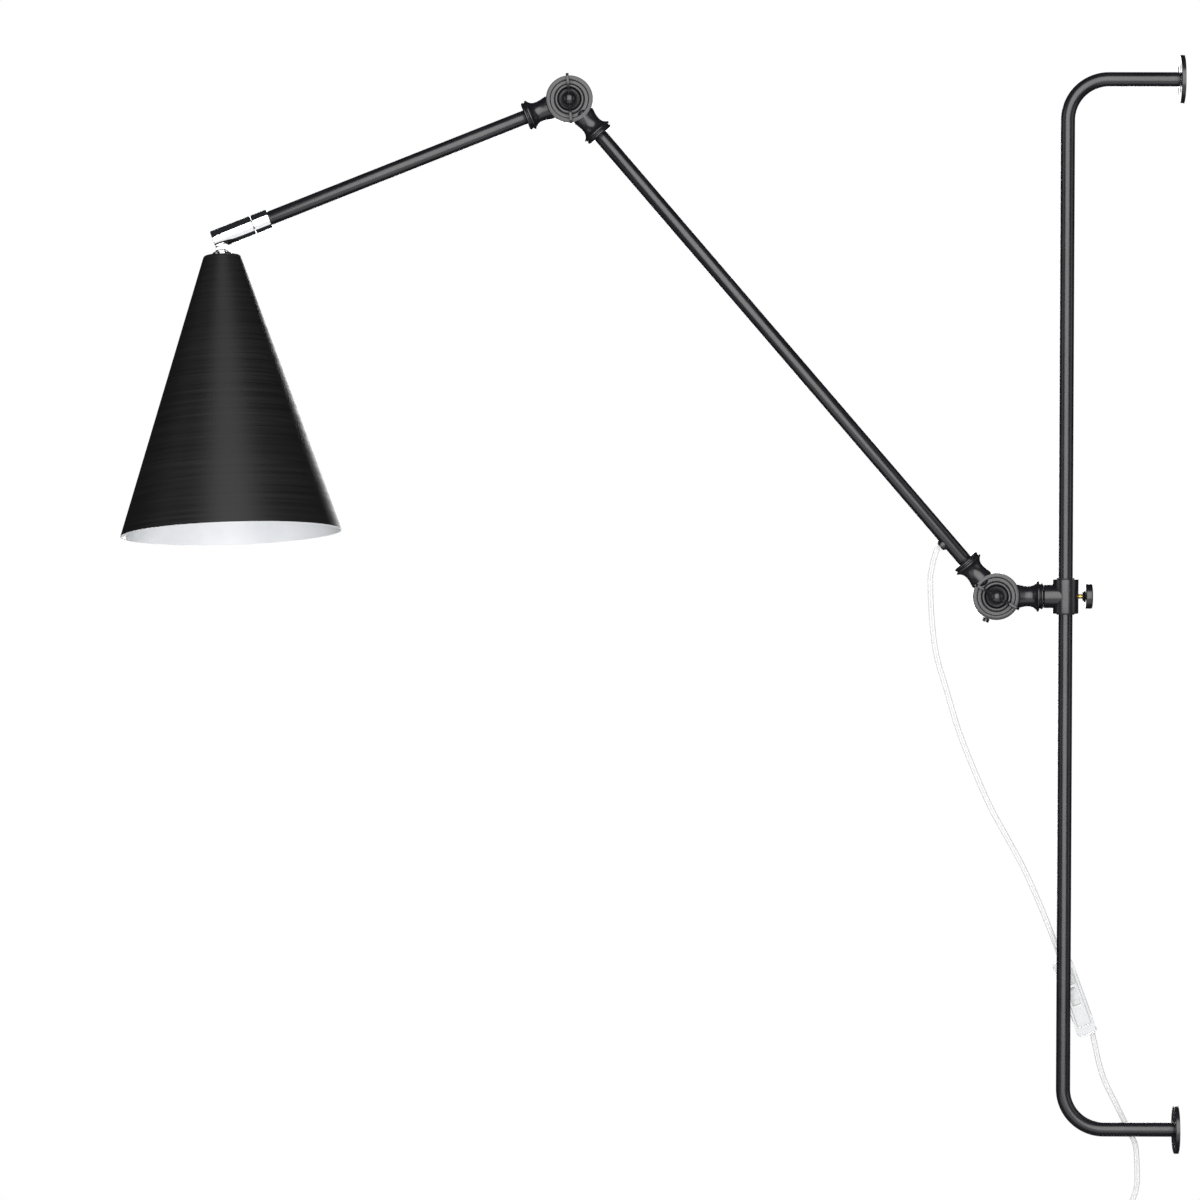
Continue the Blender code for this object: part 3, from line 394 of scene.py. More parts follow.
# cords: the same routes as the CAD's cord solids
cordSpec = {
    "wide": 0.0050, "thick": 0.0036, "core": 0.00075, "coreSpacing": 0.0024,
    "glandAlong": 0.0670, "glandOut": 0.0108, "leadOut": 0.0130,
    "upper": [
        (-0.0002, -0.2250, 0.5200), (-0.0004, -0.2268, 0.5110), (-0.0010, -0.2279, 0.5008),
        (-0.0025, -0.2264, 0.4675), (-0.0040, -0.2221, 0.4340), (-0.0058, -0.2130, 0.4030),
        (-0.0075, -0.2012, 0.3643), (-0.0090, -0.1880, 0.3308), (-0.0104, -0.1723, 0.2953),
        (-0.0115, -0.1567, 0.2668), (-0.0124, -0.1413, 0.2386), (-0.0133, -0.1284, 0.2105),
        (-0.0148, -0.1150, 0.1780),
    ],
    "lower": [
        (-0.0158, -0.0736, 0.0708), (-0.0153, -0.0707, 0.0578), (-0.0148, -0.0654, 0.0418),
        (-0.0142, -0.0576, 0.0260), (-0.0138, -0.0497, 0.0101), (-0.0136, -0.0418, -0.0059),
        (-0.0136, -0.0372, -0.0172), (-0.0138, -0.0356, -0.0392), (-0.0142, -0.0362, -0.0560),
        (-0.0148, -0.0415, -0.0700), (-0.0157, -0.0575, -0.0916),
    ],
}
switchSpec = {"top": Vector((-0.016, -0.1057, 0.1528)), "lean": 20.0, "length": 0.072, "width": 0.0182,
              "depth": 0.0150, "outlet": 0.0042}
coilSpec = {"centre": Vector((-0.016, -0.0415, -0.1272)), "radius": 0.0285, "pitch": 0.0049,
            "landing": 145.0, "stepOver": 90.0,
            "turns": [(1, 0), (1, 1), (0, 1), (-1, 1), (-1, 0), (0, 0), (0, -1), (1, -1)]}
plugSpec = {"top": Vector((-0.016, -0.0752, -0.1992)), "length": 0.036, "width": 0.0352, "depth": 0.0137,
            "relief": 0.020}

glandWay = Vector((0, -longArmWay.z, longArmWay.y))
glandSeat = lowerJoint + longArmWay * cordSpec["glandAlong"]
lean = math.radians(switchSpec["lean"])
switchDown = Vector((0, math.sin(lean), -math.cos(lean)))
switchAcross = Vector((0, -switchDown.z, switchDown.y))
switchOutlet = (switchSpec["top"] + switchDown * (switchSpec["length"] + gap)
                + switchAcross * switchSpec["outlet"])


def smoothRoute(route, step):
    # evenly spaced points on one smooth curve through the route
    points = [route[0] * 2 - route[1]] + route + [route[-1] * 2 - route[-2]]
    fine = []
    for a, b, c, d in zip(points, points[1:], points[2:], points[3:]):
        for i in range(24):
            t = i / 24
            fine.append(0.5 * (2 * b + (c - a) * t + (2 * a - 5 * b + 4 * c - d) * t**2
                               + (3 * b - a - 3 * c + d) * t**3))
    fine.append(route[-1])
    reach = [0.0]
    for p, q in zip(fine, fine[1:]):
        reach.append(reach[-1] + (q - p).length)
    count = max(2, round(reach[-1] / step))
    out = []
    i = 1
    for k in range(count + 1):
        want = reach[-1] * k / count
        while i < len(reach) - 1 and reach[i] < want:
            i += 1
        out.append(fine[i - 1].lerp(fine[i], (want - reach[i - 1]) / max(reach[i] - reach[i - 1], 1e-9)))
    return out


def lengthOf(path):
    return sum((q - p).length for p, q in zip(path, path[1:]))


def coilPoints():
    # one point every 15 degrees, with a short step across to the next turn's place just after its top
    spec = coilSpec
    start = spec["landing"]
    total = (len(spec["turns"]) - 1) * 360 + (180 - start) + 360
    points = []
    for i in range(int(total / 15) + 1):
        along = total * i / int(total / 15)
        angle = start + along
        turn, part = divmod(angle - 92, 360)  # a new turn begins just past the top
        now = spec["turns"][min(int(turn), len(spec["turns"]) - 1)]
        before = spec["turns"][max(min(int(turn) - 1, len(spec["turns"]) - 1), 0)]
        share = min(1.0, part / spec["stepOver"])
        share = share * share * (3 - 2 * share)
        out = spec["pitch"] * (before[0] + (now[0] - before[0]) * share)
        side = spec["pitch"] * (before[1] + (now[1] - before[1]) * share)
        turned = math.radians(angle)
        radius = spec["radius"] + out
        offset = Vector((side, radius * math.cos(turned), radius * math.sin(turned)))
        points.append(spec["centre"] + offset)
    return points


def ringEdges(verts):
    return list({e for v in verts for e in v.link_edges if e.other_vert(v) in verts})


def sweep(path, rings, sides):
    # pushes one or more outlines along a path: rings are (offset, half width, half thickness)
    bm = bmesh.new()
    ways = [(b - a).normalized() for a, b in zip(path, path[1:])]
    ways = [ways[0]] + [(a + b).normalized() for a, b in zip(ways, ways[1:])] + [ways[-1]]
    thin = (xAxis - ways[0] * xAxis.dot(ways[0])).normalized()
    places = []
    for point, way in zip(path, ways):
        thin = (thin - way * thin.dot(way)).normalized()
        places.append(turnedTo(point, way, thin))
    verts = []
    for offset, halfWide, halfThick in rings:
        made = bmesh.ops.create_circle(bm, cap_ends=False, radius=1, segments=sides)["verts"]
        scale = Matrix.Diagonal((halfThick, halfWide, 1, 1))
        bmesh.ops.transform(bm, matrix=Matrix.Translation((0, offset, 0)) @ scale, verts=made)
        verts += made
    bmesh.ops.transform(bm, matrix=places[0], verts=verts)
    for before, after in zip(places, places[1:]):
        verts = vertsOf(bmesh.ops.extrude_edge_only(bm, edges=ringEdges(set(verts)))["geom"])
        bmesh.ops.transform(bm, matrix=after @ before.inverted(), verts=verts)
    bmesh.ops.holes_fill(bm, edges=[e for e in bm.edges if e.is_boundary], sides=0)
    bmesh.ops.recalc_face_normals(bm, faces=bm.faces)
    return bm


sheathOutline = [(0, cordSpec["wide"] / 2, cordSpec["thick"] / 2)]
cores = [(cordSpec["coreSpacing"] / 2, cordSpec["core"], cordSpec["core"]),
         (-cordSpec["coreSpacing"] / 2, cordSpec["core"], cordSpec["core"])]

upperStart = glandSeat + glandWay * cordSpec["glandOut"]
upperEnd = switchSpec["top"] - switchDown * gap
upperPath = smoothRoute(
    [upperStart, glandSeat + glandWay * cordSpec["leadOut"]] + [Vector(p) for p in cordSpec["upper"]]
    + [upperEnd], 0.0025)
upperBend = ("clamp", upperStart, Vector((-0.0025, -0.2264, 0.4675)))
cordUpper = keep("cordUpperSheath", sweep(upperPath, sheathOutline, 32), "sheath", "long_arm",
                 ["cord_upper"], sharp=180, blendWith=upperBend)
coresUpper = keep("cordUpperCores", sweep(upperPath, cores, 10), "core", "long_arm", sharp=180,
                  blendWith=upperBend)

plugReliefTop = plugSpec["top"] + zAxis * (plugSpec["relief"] + gap)
coilEnd = Vector((-0.0185, -0.0752, coilSpec["centre"].z - 0.026))
coil = coilPoints()
lowerPath = smoothRoute(
    [switchOutlet] + [Vector(p) for p in cordSpec["lower"]] + coil
    + [coilEnd, plugReliefTop + zAxis * 0.006, plugReliefTop], 0.0042)
lowerTurn = ("pole_slider", switchOutlet, Vector((-0.0142, -0.0576, 0.0260)))
cordLower = keep("cordLowerSheath", sweep(lowerPath, sheathOutline, 24), "sheath", "clamp",
                 ["cord_lower", "cord_coil", "cord_tail"], sharp=180, blendWith=lowerTurn)
coresLower = keep("cordLowerCores", sweep(lowerPath, cores, 6), "core", "clamp", sharp=180,
                  blendWith=lowerTurn)
print("cords: upper", round(lengthOf(upperPath), 3), "m, lower", round(lengthOf(lowerPath), 3), "m")

# wall pole and its flanges
poleSpec = {"bend": 0.037, "sides": 48, "bendSteps": 22}


def makePole():
    bm = bmesh.new()
    near = -poleHigh.y
    bend = poleSpec["bend"]
    end = bmesh.ops.create_circle(bm, cap_ends=False, radius=tubeRadius, segments=poleSpec["sides"],
                                  matrix=turnedTo(Vector((0, -near, 0)), -yAxis, xAxis))["verts"]
    reach = poleReach - bend
    steps = [
        (Vector((0, near - reach, 0)), None), (None, (Vector((0, -reach, bend)), -90)),
        (Vector((0, 0, poleTop - 2 * bend)), None), (None, (Vector((0, -reach, poleTop - bend)), -90)),
        (Vector((0, reach - near, 0)), None),
    ]
    for way, turn in steps:
        edges = ringEdges(set(end))
        if way is not None:
            end = vertsOf(bmesh.ops.extrude_edge_only(bm, edges=edges)["geom"])
            bmesh.ops.translate(bm, verts=end, vec=way)
        else:
            end = vertsOf(bmesh.ops.spin(
                bm, geom=end + edges, cent=turn[0], axis=(1, 0, 0), angle=math.radians(turn[1]),
                steps=poleSpec["bendSteps"], use_duplicate=False)["geom_last"])
    bmesh.ops.holes_fill(bm, edges=[e for e in bm.edges if e.is_boundary], sides=0)
    bmesh.ops.recalc_face_normals(bm, faces=bm.faces)
    keep("poleTube", bm, "black", "wall_pole", ["pole_tube"], sharp=40)


flangeSpec = {"radius": 0.022, "thick": 0.004, "edge": 0.0009, "holes": 4, "holeCircle": 0.0142,
              "hole": 0.0021, "sink": 0.0042}


def makeFlange(name, height, node):
    spec = flangeSpec
    top, rim, radius = spec["thick"], spec["edge"], spec["radius"]
    disc = lathe([(0, top), (radius - rim, top)] + arc((radius - rim, top - rim), rim, 72, 0, 4)
                 + [(radius, 0), (0, 0)], 96)
    for i in range(spec["holes"]):
        angle = math.tau * (i + 0.5) / spec["holes"]
        sink = lathe([(0, top + 0.001), (spec["sink"] + 0.001, top + 0.001),
                      (spec["hole"], top - 0.0021), (spec["hole"], -0.001), (0, -0.001)], 32)
        out = Vector((math.cos(angle), math.sin(angle), 0))
        moved(sink, Matrix.Translation(out * spec["holeCircle"]))
        disc = worked(disc, sink)
    keep(name, disc, "black", "wall_pole", [node],
         matrix=turnedTo(Vector((0, 0, height)), -yAxis, xAxis))


makePole()
makeFlange("lowerFlange", 0.0, "lower_wall_flange")
makeFlange("upperFlange", poleTop, "upper_wall_flange")
print("wall pole done")

# sliding collar, its bush and the thumb screw
collarSpec = {"radius": 0.01175, "length": 0.0314, "bush": 0.0082, "bushLength": 0.0332, "spigot": 0.01065,
              "seam": 0.00035, "screwHole": 0.0026}
jointReach = (collarCentre - lowerJoint).length
neckEnd = 0.043


def makeCollar():
    spec = collarSpec
    halfLong = spec["length"] / 2
    edge = 0.0007
    sleeve = lathe([(0, halfLong), (spec["radius"] - edge, halfLong)]
                   + arc((spec["radius"] - edge, halfLong - edge), edge, 70, 0, 3)
                   + arc((spec["radius"] - edge, edge - halfLong), edge, 0, -70, 3)
                   + [(spec["radius"] - edge, -halfLong), (0, -halfLong)], 72)
    seam = jointReach - neckEnd - gap
    spigot = lathe([(0, seam), (spec["spigot"] - 0.0006, seam), (spec["spigot"], seam - 0.0006),
                    (spec["spigot"], 0.002), (0, 0.002)], 64)
    moved(spigot, turnedTo(Vector(), -yAxis, xAxis))
    groove = rod(spec["spigot"] + spec["seam"], 0.03, 0.0042)
    sleeve = worked(sleeve, moved(groove, turnedTo(Vector(), -yAxis, xAxis)))
    body = worked(sleeve, spigot, "UNION")  # a fine seam shows where the spigot enters the sleeve
    body = worked(body, rod(spec["bush"] + gap, 0.03, -0.03))
    hole = rod(spec["screwHole"], 0.03, 0.0, 24)
    body = worked(body, moved(hole, turnedTo(Vector(), yAxis, xAxis)))
    keep("clampCollar", body, "black", "clamp", ["clamp_collar"], Matrix.Translation(collarCentre))
    end = spec["bushLength"] / 2
    bush = ring(tubeRadius + 0.0004, spec["bush"], end, -end)
    keep("collarBush", roundOff(bush, 0.0003), "nylon", "pole_slider", ["collar_bush"],
         Matrix.Translation(collarCentre))


screwSpec = {"shaft": 0.00225, "pitch": 0.0008, "near": 0.0179, "far": 0.0242, "radius": 0.01125}


def makeThumbScrew():
    spec = screwSpec
    here = turnedTo(collarCentre, yAxis, xAxis)
    tip = collarSpec["bush"] + gap
    head = spec["near"] + 0.003
    profile = [(0, head), (spec["shaft"], head)]
    height = head - 0.001
    while height > tip + 0.0012:
        profile += [(spec["shaft"], height), (spec["shaft"] - 0.00035, height - spec["pitch"] / 2)]
        height -= spec["pitch"]
    profile += [(spec["shaft"], tip + 0.0006), (spec["shaft"] - 0.0006, tip), (0, tip)]
    keep("thumbScrewShaft", lathe(profile, 32), "brass", "thumb_screw", ["thumb_screw_shaft"], here, 50)
    edge, hole = 0.0012, spec["shaft"] + gap
    shoulder = spec["near"] - 0.0028
    near, far, rim = spec["near"], spec["far"], spec["radius"] - edge
    knob = ([(0, far), (rim, far)] + arc((rim, far - edge), edge, 72, 0, 4)
            + arc((rim, near + edge), edge, 0, -72, 4)
            + [(rim, near), (0.0068, near), (0.0054, near - 0.0006), (0.0040, near - 0.0018),
               (0.0034, shoulder), (hole, shoulder), (hole, head + gap), (0, head + gap)])
    keep("thumbScrewKnob", lathe(knob, 64), "black", "thumb_screw", ["thumb_screw_knob"], here)


makeCollar()
makeThumbScrew()
print("clamp done")

# friction knuckles: two half discs, cup washers, bolt and wing nut at each elbow
knuckleSpec = {
    "disc": 0.0213, "face": 0.0110, "floor": 0.0086, "halfGap": 0.0008, "bore": 0.0033,
    "armLip": 0.0012, "lipStart": 0.0393,
    "neck": [
        (0.0130, 0.0078), (0.0170, 0.0101), (0.0200, 0.0108), (0.0225, 0.0103), (0.0255, 0.0096),
        (0.0285, 0.0092), (0.0312, 0.0093), (0.0338, 0.0101), (0.0356, 0.0114), (0.0368, 0.0128),
        (0.0374, 0.0137), (0.0379, 0.0140), (0.0386, 0.0140), (0.0390, 0.0137), (0.0392, 0.0130),
        (0.0394, 0.0117), (0.0398, 0.0112), (0.0403, 0.0111), (0.0408, 0.0115), (0.0413, 0.0118),
        (0.0419, 0.0118), (0.0425, 0.0114), (0.0430, 0.0104),
    ],
}


def makeKnuckle(name, node, body, matrix):
    spec = knuckleSpec
    disc, face, inside = spec["disc"], spec["face"], spec["halfGap"]
    profile = ([(spec["bore"], spec["floor"]), (0.0169, spec["floor"]), (0.0172, spec["floor"] + 0.0003),
                (0.0173, face - 0.0006), (0.0175, face - 0.0002), (0.0179, face), (0.0193, face)]
               + [(disc - 0.0008, face - 0.0004)] + arc((disc - 0.0006, face - 0.0010), 0.0006, 70, 0, 3)
               + [(disc, inside + 0.0003), (disc - 0.0003, inside), (spec["bore"], inside)])
    shape = lathe(profile, 96, closed=True)
    wider = spec["armLip"] if body != "clamp" else 0.0  # a tube's lip is higher than the clamp's
    run = [(r + (wider if s > spec["lipStart"] else 0.0), s) for s, r in reversed(spec["neck"])]
    neck = lathe([(0, neckEnd)] + run + [(0, spec["neck"][0][0])], 56)
    moved(neck, turnedTo(Vector(), xAxis, yAxis))
    shape = worked(shape, neck, "UNION")
    shape = worked(shape, rod(disc + 0.0004, inside, -0.03, 96))  # room for the other half
    keep(name, shape, "black", body, [node], matrix, 30)


wingSpec = {
    "ball": 0.0069, "ballCentre": 0.0165, "thick": 0.0027,
    "outline": [
        (0.0050, 0.0130), (0.0090, 0.0139), (0.0130, 0.0146), (0.0175, 0.0150), (0.0205, 0.0163),
        (0.0222, 0.0184), (0.0227, 0.0208), (0.0224, 0.0228), (0.0214, 0.0241), (0.0196, 0.0247),
        (0.0160, 0.0247), (0.0132, 0.0243), (0.0112, 0.0234), (0.0097, 0.0220), (0.0085, 0.0205),
        (0.0074, 0.0194), (0.0050, 0.0188),
    ],
}


def makeFittings(joint, side, washerBody, boltBody, nutBody, wingAngle):
    spec = knuckleSpec
    axis = turnedTo(joint, xAxis, zAxis)
    back = turnedTo(joint, -xAxis, zAxis)
    bore = spec["bore"]
    seat = spec["floor"] + gap
    floor = seat + 0.0018
    cup = ([(bore, floor), (0.0088, floor), (0.0096, floor + 0.0003)]
           + arc((0.0119, 0.0112), 0.0022, 158, 0, 10)
           + [(0.0141, seat + 0.0003), (0.0138, seat), (bore, seat)])
    for name, node, body, place in (("CupWasher", "_cup_washer", washerBody, axis),
                                    ("RearCupWasher", "_rear_cup_washer", boltBody, back)):
        keep(side + name, lathe(cup, 72, closed=True), "black", body, [side + node], place)
    headSeat = floor + gap
    head = [(r, headSeat + h) for r, h in (
        (0, 0.0042), (0.0016, 0.00412), (0.0030, 0.0039), (0.0042, 0.00345), (0.0052, 0.0028),
        (0.0059, 0.0021), (0.0063, 0.0013), (0.0065, 0.0005), (0.0065, 0.0))]
    bolt = lathe(head + [(0.0030, headSeat), (0.0030, -0.0175), (0, -0.0175)], 48)
    bolt = worked(bolt, block((-0.009, -0.0006, headSeat + 0.0029), (0.009, 0.0006, headSeat + 0.006)))
    keep(side + "Bolt", bolt, "steel", boltBody, [side + "_bolt"], back)

    wing = wingSpec
    ball = [(r, z) for r, z in reversed(arc((0, wing["ballCentre"]), wing["ball"], -50, 90, 18))]
    ball[0] = (0, wing["ballCentre"] + wing["ball"])
    tip = 0.0175
    hub = lathe(ball + [(0.0048, headSeat + 0.0002), (0.0045, headSeat), (bore, headSeat),
                        (bore, tip + gap), (0, tip + gap)], 56)
    shapes = [hub]
    for turn in (0, math.pi):
        ear = slab(wing["outline"], wing["thick"])
        roundOff(ear, 0.0004, 3, 60)
        moved(ear, Matrix.Rotation(turn, 4, "Z") @ Matrix.Rotation(math.radians(90), 4, "X"))
        shapes.append(ear)
    keep(side + "WingNut", joined(*shapes), "black", nutBody, [side + "_wing_nut"],
         axis @ Matrix.Rotation(math.radians(wingAngle), 4, "Z"), 40)


def makeStopScrew():
    spec = knuckleSpec
    turn = math.radians(21)
    matrix = turnedTo(lowerJoint - xAxis * 0.0055, Vector((0, -math.sin(turn), -math.cos(turn))), xAxis)
    head = spec["disc"] + gap
    screw = lathe([(r, head + h) for r, h in (
        (0, 0.0036), (0.0025, 0.0036), (0.0030, 0.0031), (0.0030, 0.0003), (0.0028, 0), (0.0015, 0),
        (0.0015, -0.0043), (0, -0.0043))], 32)
    screw = worked(screw, block((-0.004, -0.0004, head + 0.0031), (0.004, 0.0004, head + 0.005)))
    keep("lowerStopScrew", screw, "black", "clamp", ["lower_stop_screw"], matrix)


for name, node, body, joint, faces, neck in (
        ("lowerRearKnuckle", "lower_rear_knuckle", "clamp", lowerJoint, -xAxis, yAxis),
        ("lowerFrontKnuckle", "lower_front_knuckle", "long_arm", lowerJoint, xAxis, longArmWay),
        ("upperFrontKnuckle", "upper_front_knuckle", "long_arm", upperJoint, xAxis, -longArmWay),
        ("upperRearKnuckle", "upper_rear_knuckle", "forearm", upperJoint, -xAxis, forearmWay)):
    makeKnuckle(name, node, body, turnedTo(joint, faces, neck))
makeFittings(lowerJoint, "lower", "long_arm", "clamp", "lower_wing_nut", 60.7)
makeFittings(upperJoint, "upper", "long_arm", "forearm", "upper_wing_nut", 4.8)
makeStopScrew()
print("knuckles done")

# arms
armSpec = {"socket": 0.030, "wall": 0.0012, "sides": 48, "forearmEnd": 0.0345}


def makeArms():
    inner = tubeRadius - armSpec["wall"]
    start = armSpec["socket"] + gap
    tip = forearm - armSpec["forearmEnd"]
    for name, node, body, joint, way, end in (
            ("longArmTube", "long_arm_tube", "long_arm", lowerJoint, longArmWay, longArm - start),
            ("forearmTube", "forearm_tube", "forearm", upperJoint, forearmWay, tip)):
        tube = ring(inner, tubeRadius, end, start, armSpec["sides"])
        keep(name, roundOff(tube, 0.0003), "black", body, [node], turnedTo(joint, way, xAxis))


glandSpec = {"boss": 0.0053, "neck": 0.0043, "height": 0.0092, "bush": 0.0029}


def makeGland():
    spec = glandSpec
    out = turnedTo(glandSeat, glandWay, longArmWay)
    bore = spec["bush"] + gap
    high = spec["height"]
    boss = lathe([(bore, high), (0.0036, high), (0.0041, high - 0.0002), (spec["neck"], high - 0.0005),
                  (spec["neck"], high - 0.0011), (0.0048, high - 0.0012), (0.0052, high - 0.0015),
                  (spec["boss"], high - 0.0019), (spec["boss"], 0.0022), (bore, 0.0022)], 48,
                 closed=True)
    boss = worked(boss, moved(rod(tubeRadius + gap, 0.02, -0.02, 48), crossways))
    keep("cordGland", boss, "black", "long_arm", ["cord_gland"], out)
    grommet = lathe([(0.0019, 0.0102), (0.0030, 0.0102), (0.0034, 0.0099), (0.0034, 0.0095),
                     (spec["bush"], 0.0095), (spec["bush"], 0.0048), (0.0019, 0.0048)], 40, closed=True)
    keep("glandGrommet", grommet, "sheath", "long_arm", ["gland_grommet"], out)


makeArms()
makeGland()
print("arms done")

# chrome swivel
swivelSpec = {"radius": 0.00885, "end": 0.0078, "seam": 0.0310, "back": 0.0470, "slot": 0.0066,
              "slotBack": 0.0066, "bore": 0.0043, "boreEnd": 0.0125, "pin": 0.0018}


def makeSwivel():
    spec = swivelSpec
    radius, seam, bore = spec["radius"], spec["seam"], spec["bore"]
    matrix = turnedTo(headPivot, forearmWay, tiltAxis)
    edge = 0.0006
    body = lathe([(0, spec["end"]), (radius - edge, spec["end"])]
                 + arc((radius - edge, spec["end"] - edge), edge, 66, 0, 4)
                 + [(radius, 0.0007 - seam), (radius - 0.0003, 0.0003 - seam), (radius - 0.0009, -seam),
                    (bore, -seam), (bore, -spec["boreEnd"]), (0, -spec["boreEnd"])], 96)
    side = spec["slot"] / 2
    body = worked(body, block((-side, -0.012, -spec["slotBack"]), (side, 0.0060, spec["end"] + 0.004)))
    body = worked(body, moved(rod(spec["pin"], 0.02, -0.02, 24), crossways))
    keep("swivelBody", body, "chrome", "swivel_head", ["swivel_body"], matrix)
    high, low = -seam - 0.0004, -spec["back"]
    step = -armSpec["forearmEnd"] + gap
    fixed = lathe([(bore, high), (radius - 0.0009, high), (radius - 0.0003, high - 0.0003),
                   (radius, high - 0.0007)] + arc((radius - edge, low + edge), edge, 0, -66, 4)
                  + [(radius - edge, low), (tubeRadius + gap, low), (tubeRadius + gap, step),
                     (bore, step)], 96, closed=True)
    keep("swivelCollar", fixed, "chrome", "forearm", ["swivel_collar"], matrix)


tongueSpec = {"cheek": 0.0052, "reach": 0.0126, "thick": 0.0058}


def makeTongue():
    spec = tongueSpec
    here = turnedTo(headPivot, shadeWay, tiltAxis)
    cheek = spec["cheek"]
    outline = arc((0, 0), cheek, 180, 360, 20) + [(cheek, spec["reach"]), (-cheek, spec["reach"])]
    plate = slab(outline, spec["thick"])
    roundOff(plate, 0.0004, 2, 60)
    moved(plate, Matrix((yAxis, zAxis, xAxis)).transposed().to_4x4())
    top = shadeSpec["top"]
    foot = lathe([(0.0, top - gap), (0.0084, top - gap), (0.0087, top - 0.0006), (0.0087, 0.0146),
                  (0.0085, 0.0142), (0.0078, 0.0138), (0.0068, 0.0134), (0.0060, 0.0128),
                  (0.0056, 0.0122), (0.0054, 0.0114), (0.0, 0.0114)], 72)
    tongue = worked(plate, foot, "UNION")
    tongue = worked(tongue, rod(shadeSpec["hole"], 0.03, 0.0136, 32))
    tongue = worked(tongue, moved(rod(swivelSpec["pin"], 0.02, -0.02, 24), crossways))
    keep("swivelTongue", tongue, "chrome", "lamp_head", ["swivel_tongue"], here)


# cone shade and lampholder
shadeSpec = {"top": 0.0167, "height": 0.254, "topRadius": 0.0175, "rim": 0.100, "sheet": 0.001,
             "shoulder": 0.003, "slope": -18.2, "hole": 0.0053, "steps": 160}


def makeShade():
    spec = shadeSpec
    here = turnedTo(headPivot, shadeWay, tiltAxis)
    sheet, shoulder = spec["sheet"], spec["shoulder"]
    centre = (spec["topRadius"] - shoulder, spec["top"] + shoulder)
    bottom = spec["top"] + spec["height"]
    slope = spec["slope"]
    outside = [(spec["hole"], spec["top"])] + arc(centre, shoulder, -90, slope, 8) + [(spec["rim"], bottom)]
    inside = ([(spec["rim"] - sheet * 1.04, bottom)] + arc(centre, shoulder - sheet, slope, -90, 6)
              + [(spec["hole"], spec["top"] + sheet)])
    bm = lathe(outside + inside, spec["steps"], closed=True)
    for face in bm.faces:
        middle = face.calc_center_median()
        outward = Vector((middle.x, middle.y, 0)).normalized()
        flatTop = middle.z < spec["top"] + sheet * 0.5
        face.material_index = 0 if face.normal.dot(outward) > 0.3 or flatTop else 1
        if middle.z > bottom - 1e-5:
            face.material_index = 1
        if face.normal.z < -0.5 and middle.z < spec["top"] + shoulder:
            face.material_index = 0
    keep("shade", bm, ["shadeOut", "shadeIn"], "lamp_head", ["shade"], here, 50)
    low = spec["top"] + sheet + gap
    blank = bmesh.new()
    bmesh.ops.create_cone(blank, cap_ends=True, segments=6, radius1=0.0092, radius2=0.0092, depth=0.003,
                          matrix=Matrix.Translation((0, 0, low + 0.0015)))
    roundOff(blank, 0.0004, 2, 40)
    bore = rod(spec["hole"], 0.03, 0.01, 32)
    keep("shadeLockNut", worked(blank, bore), "steel", "lamp_head", ["shade_lock_nut"], here)


holderSpec = {"capLow": 0.0342, "outer": 0.0186, "inner": 0.0136, "low": 0.0720, "threadEnd": 0.048,
              "wall": 0.0016}


def makeLampholder():
    spec = holderSpec
    here = turnedTo(headPivot, shadeWay, tiltAxis)
    hole = shadeSpec["hole"]
    capTop = shadeSpec["top"] + shadeSpec["sheet"] + gap + 0.003 + gap
    capLow, wall = spec["capLow"], spec["wall"]
    outer = [(0.0100, capTop), (0.0128, 0.0226), (0.0145, 0.0245), (0.0163, 0.0268), (0.0175, 0.0292),
             (0.0184, 0.0320), (0.0188, capLow)]
    inner = [(0.0188 - wall, capLow), (0.0184 - wall, 0.0322), (0.0175 - wall, 0.0298),
             (0.0145 - wall, 0.0254), (0.0100, capTop + wall), (hole, capTop + wall)]
    cap = lathe([(hole, capTop)] + outer + inner, 72, closed=True)
    keep("lampholderCap", cap, "nylon", "lamp_head", ["lampholder_cap"], here)
    run = []
    radius, thread = spec["outer"], spec["inner"]
    height = capLow + gap
    while height < spec["low"] - 0.004:  # grip rings round the sleeve
        run += [(radius, height), (radius, height + 0.0024), (radius - 0.0005, height + 0.0028),
                (radius - 0.0005, height + 0.0034)]
        height += 0.0038
    run += [(radius, height), (radius, spec["low"] - 0.0008), (0.0180, spec["low"]),
            (thread + 0.0004, spec["low"])]
    height = spec["low"] - 0.0004
    while height > spec["threadEnd"]:  # the lamp cap's round thread
        run += [(thread, height), (thread + 0.0005, height - 0.0009), (thread + 0.0005, height - 0.0018)]
        height -= 0.0036
    run += [(thread, height), (thread, capLow + gap)]
    sleeve = lathe(run, 72, closed=True)
    keep("lampholderSleeve", sleeve, "nylon", "lamp_head", ["lampholder_sleeve"], here)
    contact = lathe([(0, 0.0440), (0.0028, 0.0440), (0.0031, 0.0437), (0.0034, 0.0420), (0.0040, 0.0415),
                     (0.0128, 0.0415), (0.0131, 0.0412), (0.0131, 0.0380), (0, 0.0380)], 56)
    keep("lampholderContact", contact, "ceramic", "lamp_head", ["lampholder_contact"], here)


makeSwivel()
makeTongue()
makeShade()
makeLampholder()
print("head and shade done")

# inline switch


def roundedOutline(halfLong, halfWide, corner, steps=6):
    out = []
    for x, y, start in ((1, 1, 0), (-1, 1, 90), (-1, -1, 180), (1, -1, 270)):
        out += arc((x * (halfLong - corner), y * (halfWide - corner)), corner, start, start + 90, steps)
    return out


